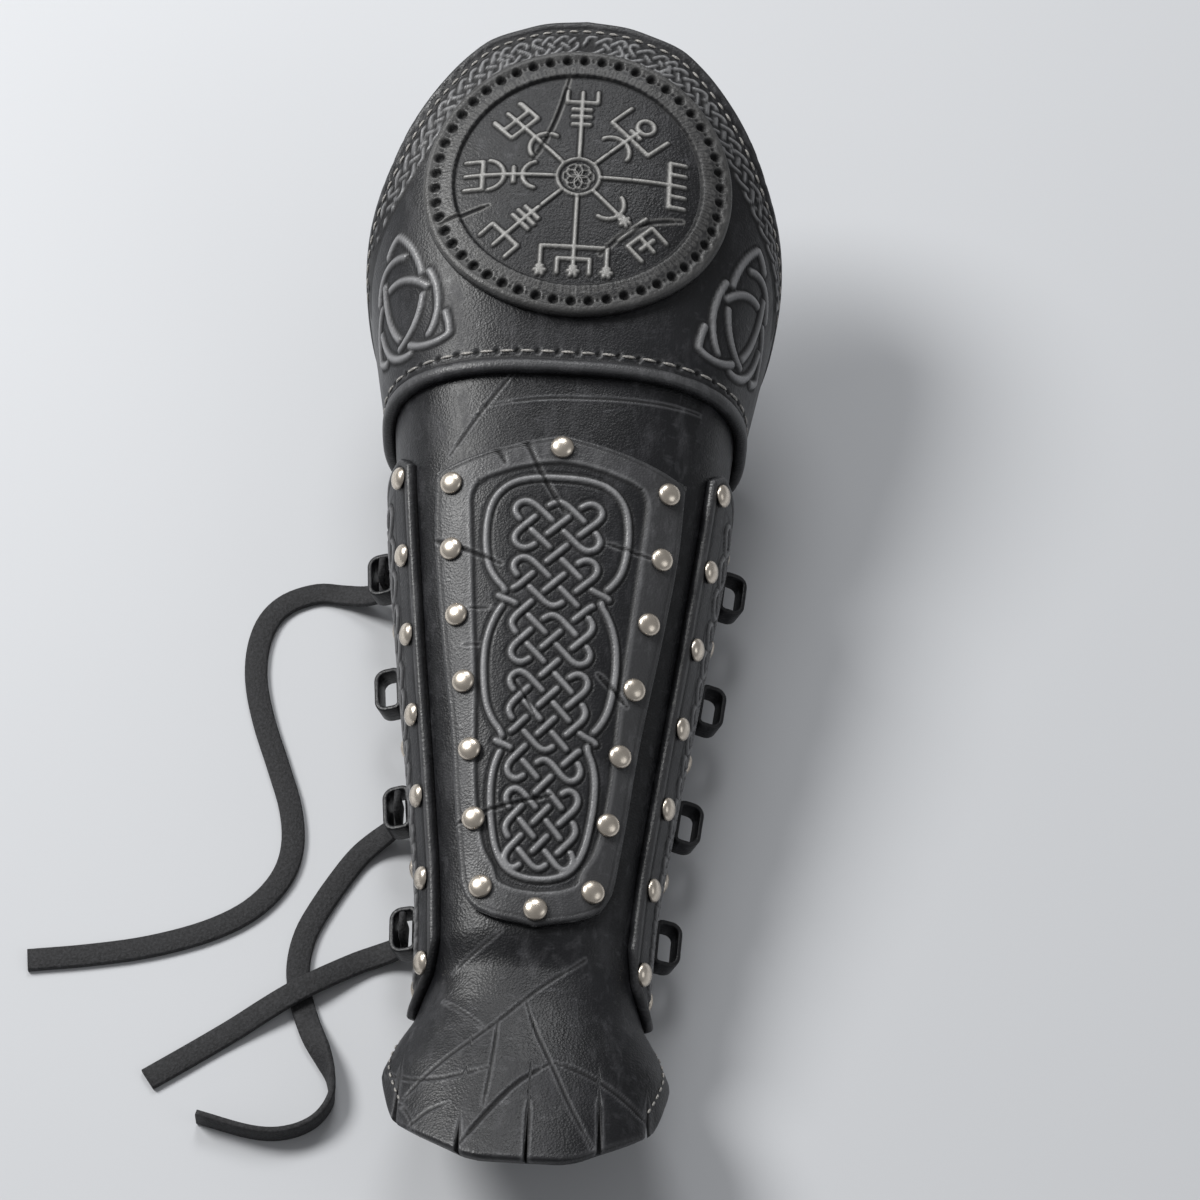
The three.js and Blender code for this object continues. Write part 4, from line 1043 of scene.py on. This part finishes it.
def make_medallion():
    centre = MEDALLION_CENTRE
    carving = Carving((-56, centre - 56), (56, centre + 56), 0.25)
    lines = []
    for turn, parts in stave_arms():
        sine, cosine = math.sin(math.radians(turn)), math.cos(math.radians(turn))
        for part in parts:
            path = even_path(np.array(part, float), 0.3)
            lines.append(np.stack([
                path[:, 0] * sine + path[:, 1] * cosine,
                centre + path[:, 0] * cosine - path[:, 1] * sine,
            ], 1))
    carving.strand(lines, 1.7, 1.0, 0.5, 1.0)
    hub = [arc_path((0, centre), HUB_RADIUS, 0, 360)]
    carving.strand(hub, 1.4, 0.9, 0.45, 0.9)
    petals = [arc_path((2.6 * math.cos(a), centre + 2.6 * math.sin(a)), 2.7, 0, 360) for a in np.radians((0, 60, 120, 180, 240, 300))]
    carving.strand(petals, 0.8, 0.6, 0.4, 0.7)
    ring = MEDALLION_RADIUS - 4.6
    holes = [(ring * math.sin(a), centre + ring * math.cos(a)) for a in np.linspace(0, 2 * math.pi, 51)[:-1]]
    carving.dots(holes, 1.75, 2.0)
    between = [(ring * math.sin(a), centre + ring * math.cos(a)) for a in np.linspace(0, 2 * math.pi, 51)[:-1] + math.pi / 50]
    carving.dots(between, 0.6, 0.5, 0.8)
    rng = np.random.default_rng(3)
    for a in np.radians(np.arange(0, 360, 3.2)):
        low, high = 42.6 + rng.uniform(0, 0.8), 44.8 + rng.uniform(0, 1.2)
        way = np.array([math.sin(a + rng.uniform(-0.01, 0.01)), math.cos(a)])
        start, end = way * low, way * high
        carving.cut([even_path([(start[0], centre + start[1]), (end[0], centre + end[1])], 0.3)], 0.5, 0.2, 0.45, 0.05)
    for points in MEDALLION_CRACKS:
        carving.cut([round_path([(x, centre + y) for x, y in points], 0.25)], 1.3, 0.9, 1.0, 0.05)
    radius = spread(0.4, MEDALLION_RADIUS, 0.55, ())
    radius = np.unique(np.concatenate([radius, [41.6, 42.0, 42.3, 42.6], MEDALLION_RADIUS - np.array([0.1, 0.3, 0.6, 1.0])]))
    turns = np.linspace(0, 2 * math.pi, 641)[:-1]
    x = radius[:, None] * np.sin(turns)
    y = centre + radius[:, None] * np.cos(turns)
    angle = angle_at(x, y)
    far = np.broadcast_to(radius[:, None], x.shape)
    sunk = 1 - smooth_step(far, 41.8, 42.8)
    swell = np.sqrt(np.clip(1 - ((far - 51.2) / 1.9) ** 2, 0, 1))
    height = carving.read(carving.height, x, y) - 1.4 * sunk + 0.5 * swell - edge_drop(MEDALLION_RADIUS - far, 1.8)
    # step and groove lines darkened as painted shade; the swelling rim painted lighter as a painted highlight, and the
    # rim face outside the sunk floor painted a little lighter
    step_line = np.exp(-(((far - 42.0) / 0.45) ** 2)) + 0.7 * np.exp(-(((far - 50.2) / 0.35) ** 2))
    marks = {
        "dark": np.clip(carving.read(carving.dark, x, y) + step_line * 0.8, 0, 1),
        "bright": np.clip(carving.read(carving.bright, x, y) * 1.0 + swell * 0.12 + (far > 42.8) * 0.04, 0, 1),
    }
    base = ON_SLEEVE + LEATHER + FIT_GAP
    top = base + MEDALLION_THICKNESS + height
    leather_piece("medallion", angle, y, top, base, marks, ["medallion"], medallion_leather, ring=True, coarse=8)


# Cracks of the medallion, from its middle
MEDALLION_CRACKS = [
    [(-5.2, 41), (-7.4, 29), (-11, 17), (-16.4, 5.5)],
    [(36, -13.5), (26, -15.4), (17, -20.4), (9, -29.8)],
    [(-46, -17.6), (-38, -15), (-30, -12)],
]


def half_curve(table, shoulder):
    """Half width at a share of the panel: rounded up to the shoulder, straight above it."""
    rounded = [row for row in table if row[0] <= shoulder]
    top, low = smooth_column(rounded, 1), smooth_column(rounded, 2)
    places = [row[0] for row in table]
    halves = [row[1] * FRONT_TOP_HALF + row[2] * FRONT_BOTTOM_HALF for row in table]

    def value(share):
        share = np.asarray(share, float)
        held = np.minimum(share, shoulder)
        curved = top(held) * FRONT_TOP_HALF + low(held) * FRONT_BOTTOM_HALF
        return np.where(share <= shoulder, curved, np.interp(share, places, halves))

    return value


front_half = half_curve(FRONT_HALF, 0.93)
field_half = half_curve(FIELD_HALF, 0.87)


def front_outline(half, start, end):
    shares = spread(start, end, 0.016, (0.0004, 0.0015, 0.003, 0.006))
    right = [(float(half(at)), FRONT_START + at * FRONT_LENGTH) for at in shares]
    return right + [(-x, y) for x, y in reversed(right[1:-1])]


KNOT_TOP = 232.0
KNOT_ROWS = 13
KNOT_STEP = 5.0
WAISTS = (7, 17)


def knot_half(along):
    return 12.2 + (along - 102) / 130 * 4.4


def front_knots():
    """The knot column, and the frame cord that is drawn through it at both waists."""
    paths = []
    breaks = [(x, y) for y in (4, 12, 20) for x in (1, 5)] + [(3, 8), (3, 18)]
    for strand in plait(3, KNOT_ROWS, level=breaks):
        across, down = strand[:, 0] - 3, strand[:, 1]
        bulge = np.isin(down, WAISTS) & (np.abs(across) > 2.6)
        across = np.where(bulge, np.sign(across) * 3.9, across)
        along = KNOT_TOP - down * KNOT_STEP
        points = np.stack([across / 3 * knot_half(along), along], 1)
        paths.append(round_path(points, 0.45, True, 2))
    right = [
        (0, 239.2), (9, 238.9), (17, 236.8), (22.4, 231), (24, 222), (23.4, 212), (21.2, 204.5), (14.4, 197),
        (19.4, 189.4), (21.8, 180), (21.6, 168), (19.4, 156), (12.6, 147), (16.4, 138.6), (17, 129),
        (15.8, 118), (13.8, 109), (10, 102.6), (4.6, 100.2), (0, 99.8),
    ]
    cord = right + [(-x, y) for x, y in reversed(right[1:-1])]
    paths.append(round_path(cord, 0.45, True, 2))
    return weave(paths, 1.2, 0.35)


FRONT_CUTS = [
    ([(-24.5, 252), (-21, 247.5), (-18.6, 243.4)], 1.6),
    ([(-13.6, 254), (-8, 243), (-2, 233), (1.8, 227)], 1.6),
    ([(-42.6, 219.5), (-30, 213.5), (-18, 208)], 1.5),
    ([(16, 217), (24, 215.4), (33, 213.6)], 1.0),
    ([(16, 171), (21.5, 166), (25.6, 161.5)], 1.6),
    ([(-28.4, 119), (-14, 124.4), (3, 128.4)], 1.5),
    ([(-12, 168), (-7.5, 162), (-4, 155)], 0.9),
    ([(-28, 193), (-20, 192.6)], 0.7),
    ([(-29, 180), (-22, 180)], 0.7),
]


def make_front_panel():
    carving = Carving((-46, 80), (46, 260), 0.28)
    carving.strand(front_knots(), 2.4, 1.05, 0.65, 0.95)
    for points, width in FRONT_CUTS:
        carving.cut([round_path(points, 0.3)], width, 0.9)
    share = spread(0, 1, 1 / 300, (0.0005, 0.0015, 0.003, 0.005))
    across = spread(-1, 1, 1 / 80, (0.003, 0.008, 0.015, 0.025))
    half = np.maximum(front_half(share), 0.6)
    along = np.broadcast_to((FRONT_START + share * FRONT_LENGTH)[:, None], (len(share), len(across)))
    s = across[None, :] * half[:, None]
    angle = angle_at(s, along)
    edge = outline_distance(s, along, front_outline(front_half, 0, 1))
    field_far = outline_distance(s, along, front_outline(field_half, FIELD_HALF[0][0], FIELD_HALF[-1][0]))
    place = (along - FRONT_START) / FRONT_LENGTH
    in_field = (np.abs(s) < field_half(place)) & (place > FIELD_HALF[0][0]) & (place < FIELD_HALF[-1][0])
    signed = np.where(in_field, field_far, -field_far)
    sunk = smooth_step(signed, -0.4, 0.7)
    # step line and hem groove darkened as painted shade; the frame's lip and raised frame painted lighter as painted
    # highlight and painted sheen
    step_line = np.exp(-(((signed - 0.5) / 0.6) ** 2))
    lip = np.exp(-(((signed + 0.8) / 0.6) ** 2))
    hem = np.exp(-(((edge - 1.9) / 0.35) ** 2))
    height = carving.read(carving.height, s, along) - 0.8 * sunk - edge_drop(edge, 1.1) - 0.14 * hem
    marks = {
        "dark": np.clip(carving.read(carving.dark, s, along) + step_line * 0.75 + hem * 0.4, 0, 1),
        "bright": np.clip(carving.read(carving.bright, s, along) + lip * 0.3 + (1 - sunk) * 0.16, 0, 1),
    }
    top = ON_PANEL + height
    leather_piece("front_panel", angle, along, top, ON_SLEEVE, marks, ["front_panel"], carved_leather)


def side_column(along, inset, front):
    edge = SIDE_FRONT if front else SIDE_REAR
    return angle_at(distance_at(edge, along) + (inset if front else -inset), along)


def side_width(along):
    return distance_at(SIDE_REAR, along) - distance_at(SIDE_FRONT, along)


def make_side_panel(side, sign):
    carving = Carving((-2, SIDE_START - 2), (66, SIDE_START + SIDE_LENGTH + 2), 0.3)
    rows = 22
    levels = np.linspace(SIDE_START + 13, SIDE_START + SIDE_LENGTH - 10, 80)
    reach = side_width(levels) / 2 - 10.9
    down = np.concatenate([[0], np.cumsum(2 / (reach[1:] + reach[:-1]))])
    down = down / down[-1] * 2 * rows
    paths = []
    for strand in plait(2, rows, level=[(x, y) for y in range(8, 2 * rows - 4, 10) for x in (1, 3)]):
        curve = round_path(strand, 0.12, True, 2)
        along = np.interp(curve[:, 1], down, levels)
        half = np.interp(along, levels, reach)
        paths.append(np.stack([side_width(along) / 2 + (curve[:, 0] / 2 - 1) * half, along], 1))
    carving.strand(weave(paths, 0.9, 0.25), 1.9, 0.9, 0.5, 0.85)
    across = spread(0, 1, 1 / 64, (0.006, 0.014, 0.025))
    share = spread(0, 1, 1 / 230, (0.001, 0.003, 0.006))
    lower = np.interp(across, [x for x, y in SIDE_LOW], [y for x, y in SIDE_LOW])
    upper = np.interp(across, [x for x, y in SIDE_HIGH], [y for x, y in SIDE_HIGH])
    along = SIDE_START + (lower[None, :] + (upper - lower)[None, :] * share[:, None]) * SIDE_LENGTH
    angle = np.broadcast_to(SIDE_FRONT + across * (SIDE_REAR - SIDE_FRONT), along.shape)
    w = distance_at(angle, along) - distance_at(SIDE_FRONT, along)
    width = side_width(along)
    ends = np.minimum(along - SIDE_START - lower[None, :] * SIDE_LENGTH, SIDE_START + upper[None, :] * SIDE_LENGTH - along)
    edge = np.minimum(np.minimum(w, width - w), ends)
    # rolled rim painted lighter as a painted highlight; the two tooled lines darkened as painted shade
    rim = np.sqrt(np.clip(1 - ((edge - 1.4) / 1.5) ** 2, 0, 1))
    line = np.exp(-(((edge - 3.3) / 0.35) ** 2)) + np.exp(-(((edge - 10.2) / 0.35) ** 2))
    height = carving.read(carving.height, w, along) + 0.35 * rim * (edge < 2.9) - edge_drop(edge, 1.4) - 0.25 * line
    marks = {
        "dark": np.clip(carving.read(carving.dark, w, along) + line * 0.8, 0, 1),
        "bright": np.clip(carving.read(carving.bright, w, along) + rim * (edge < 2.9) * 0.14, 0, 1),
    }
    if sign < 0:
        along, angle, height = along[:, ::-1], -angle[:, ::-1], height[:, ::-1]
        marks = {key: value[:, ::-1] for key, value in marks.items()}
    name = f"side_panel_{side}"
    leather_piece(name, angle, along, ON_PANEL + height, ON_SLEEVE, marks, [name], carved_leather)


def seat_frame(angle, along, height):
    """Place on the leather, with the directions round the arm, up it and out of it."""
    place = wrapped(np.array([angle]), np.array([along]), np.array([height]))[0]
    out = face_out(np.array([angle]), np.array([along]))[0]
    around = (
        face_point(np.array([angle + 1]), np.array([along]))
        - face_point(np.array([angle - 1]), np.array([along]))
    )[0]
    onward = unit(np.cross(out, around))
    return place, np.cross(onward, out), onward, out


def rivet_places():
    places = []
    shares = np.linspace(FRONT_RIVET_LOW, FRONT_RIVET_HIGH, FRONT_RIVET_ROWS)
    for i, share in enumerate(shares):
        along = FRONT_START + share * FRONT_LENGTH
        angle = float(angle_at(front_half(share) - FRONT_RIVET_INSET, along))
        places += [(f"rivet_front_left_{i + 1}", -angle, along), (f"rivet_front_right_{i + 1}", angle, along)]
    places.append(("rivet_front_bottom", 0.0, FRONT_START + PEAK_RIVET_INSET))
    places.append(("rivet_front_top", 0.0, FRONT_START + FRONT_LENGTH - PEAK_RIVET_INSET))
    for side, sign in (("left", -1), ("right", 1)):
        for label, shares in (("front", SIDE_FRONT_RIVETS), ("rear", SIDE_REAR_RIVETS)):
            for i, share in enumerate(shares):
                along = SIDE_START + share * SIDE_LENGTH
                angle = float(side_column(along, SIDE_RIVET_INSET, label == "front"))
                places.append((f"rivet_{side}_{label}_{i + 1}", sign * angle, along))
    return places


def make_rivets():
    """Domed rivets: a head with a turned-in lip, a shank, and a small burr inside the sleeve."""
    inside = -(RIVET_SEAT + ON_PANEL + LEATHER)
    dome = [(RIVET_RADIUS * math.cos(a), 0.35 + (RIVET_HEIGHT - 0.35) * math.sin(a)) for a in np.radians(np.linspace(0, 82, 9))]
    profile = [(2.4, inside - 0.4), (2.4, inside), (1.3, inside + 0.05), (1.3, 0.0), (RIVET_RADIUS - 0.3, 0.0), (RIVET_RADIUS, 0.15)] + dome
    sides = 28
    turn = np.linspace(0, 2 * math.pi, sides + 1)[:-1]
    for name, angle, along in rivet_places():
        place, around, onward, out = seat_frame(angle, along, ON_PANEL + RIVET_SEAT)
        rings = [place + radius * (np.cos(turn)[:, None] * around + np.sin(turn)[:, None] * onward) + out * high for radius, high in profile]
        grid = np.arange(len(profile) * sides).reshape(len(profile), sides)
        grid = np.hstack([grid, grid[:, :1]])
        faces = np.stack([grid[:-1, :-1], grid[:-1, 1:], grid[1:, 1:], grid[1:, :-1]], -1).reshape(-1, 4).tolist()
        faces += [grid[0, :-1].tolist()[::-1], grid[-1, :-1].tolist()]
        mesh_piece(name, np.vstack(rings), faces, [name], nickel)


def make_keepers():
    """Leather loops, bent from one strap and closed against the panel."""
    low, high = KEEPER_STRAP / 2, KEEPER_STAND_OFF - KEEPER_STRAP / 2
    half = KEEPER_LENGTH / 2 - KEEPER_STRAP / 2
    corner = 3.4
    path = []
    for x, y, start in ((1, 1, 0), (-1, 1, 90), (-1, 0, 180), (1, 0, 270)):
        ease = corner if y else 1.8
        middle = (x * (half - ease), (high - ease) if y else (low + ease))
        path += arc_path(middle, ease, start, start + 90, 0.45).tolist()
    path = even_path(path, 0.75, True)[:-1]
    section = np.array(strap_section(KEEPER_STRAP, KEEPER_WIDTH, 0.5))
    way = unit(np.roll(path, -1, axis=0) - np.roll(path, 1, axis=0))
    normal = np.stack([way[:, 1], -way[:, 0]], 1)
    for side, sign in (("left", -1), ("right", 1)):
        for i, share in enumerate(KEEPER_PLACES):
            along = SIDE_START + share * SIDE_LENGTH
            angle = sign * float(side_column(along, KEEPER_INSET, False))
            place, around, onward, out = seat_frame(angle, along, ON_PANEL + KEEPER_SEAT)
            centre = place + path[:, :1] * onward + path[:, 1:] * out
            thick = normal[:, :1] * onward + normal[:, 1:] * out
            ring = centre[:, None] + thick[:, None] * section[None, :, :1] + around * section[None, :, 1:]
            sides = len(section)
            grid = np.arange(len(path) * sides).reshape(len(path), sides)
            grid = np.vstack([np.hstack([grid, grid[:, :1]]), np.hstack([grid, grid[:, :1]])[:1]])
            faces = np.stack([grid[:-1, :-1], grid[:-1, 1:], grid[1:, 1:], grid[1:, :-1]], -1).reshape(-1, 4).tolist()
            mesh_piece(f"keeper_{side}_{i + 1}", ring.reshape(-1, 3), faces, [f"keeper_{side}_{i + 1}"], plain_leather)


def stitch_row(name, path, height, length, pitch, radius=0.55):
    """Separate stitches along a line of the flat leather."""
    path = even_path(path, pitch)
    vertices, faces = [], []
    for a, b in zip(path[:-1], path[1:]):
        middle, way = (a + b) / 2, (b - a) / np.linalg.norm(b - a)
        along = np.linspace(-0.5, 0.5, 7)
        spine = middle + way * (along * length)[:, None]
        swell = np.sqrt(np.clip(1 - (2 * along) ** 2 * 0.92, 0.02, 1))
        angle = angle_at(spine[:, 0], spine[:, 1])
        line = wrapped(angle, spine[:, 1], height + 0.25 * swell)
        ahead = unit(np.gradient(line, axis=0))
        out = face_out(angle, spine[:, 1])
        side = unit(np.cross(ahead, out))
        turn = np.linspace(0, 2 * math.pi, 7)[:-1]
        ring = line[:, None] + radius * swell[:, None, None] * (
            np.cos(turn)[None, :, None] * side[:, None] + 0.7 * np.sin(turn)[None, :, None] * out[:, None]
        )
        start = len(vertices)
        vertices += ring.reshape(-1, 3).tolist()
        grid = start + np.arange(42).reshape(7, 6)
        grid = np.hstack([grid, grid[:, :1]])
        faces += np.stack([grid[:-1, :-1], grid[1:, :-1], grid[1:, 1:], grid[:-1, 1:]], -1).reshape(-1, 4).tolist()
        faces += [grid[0, :-1].tolist(), grid[-1, :-1].tolist()[::-1]]
    mesh_piece(name, vertices, faces, [], thread)


def thread_finish():
    finish = Finish("waxed_thread")
    fibre = finish.noise(1500, 3, 0.6)
    colour = finish.blend(finish.ramp(fibre, 0.4, 0.65), (0.16, 0.155, 0.15), (0.42, 0.4, 0.37))
    return finish.finish(Base_Color=colour, Roughness=0.55, Normal=finish.bumps([(fibre, 0.4, 0.0002)]))


thread = thread_finish()


def make_stitching():
    stitch_row("dome_stitches", dome_line(4.6, 90)[0], ON_SLEEVE + LEATHER, 3.2, 4.7)
    seam = CUFF_START + 7.4
    stitch_row("seam_stitches", [(-14.5 * SEAM_PITCH, seam), (14.5 * SEAM_PITCH, seam)], ON_SLEEVE + LEATHER, 4.6, SEAM_PITCH)
    for side, sign in (("left", -1), ("right", 1)):
        along = np.linspace(TONGUE * 0.42, TONGUE * 1.12, 40)
        table = np.array([(turn, cut) for turn, cut in TONGUE_EDGE])
        edge_turn = np.interp(along / TONGUE, table[:-1, 1], table[:-1, 0])
        edge_turn = np.where(along > TONGUE * 0.98, 100, edge_turn)
        s = distance_at(edge_turn - 8, along)
        stitch_row(f"tongue_stitches_{side}", np.stack([sign * s, along], 1), 0.0, 2.2, 3.6, 0.45)


make_camera()
make_laces()
make_studio()
make_shell()
make_elbow_cuff()
make_medallion()
make_front_panel()
make_side_panel("left", -1)
make_side_panel("right", 1)
make_rivets()
make_keepers()
make_stitching()
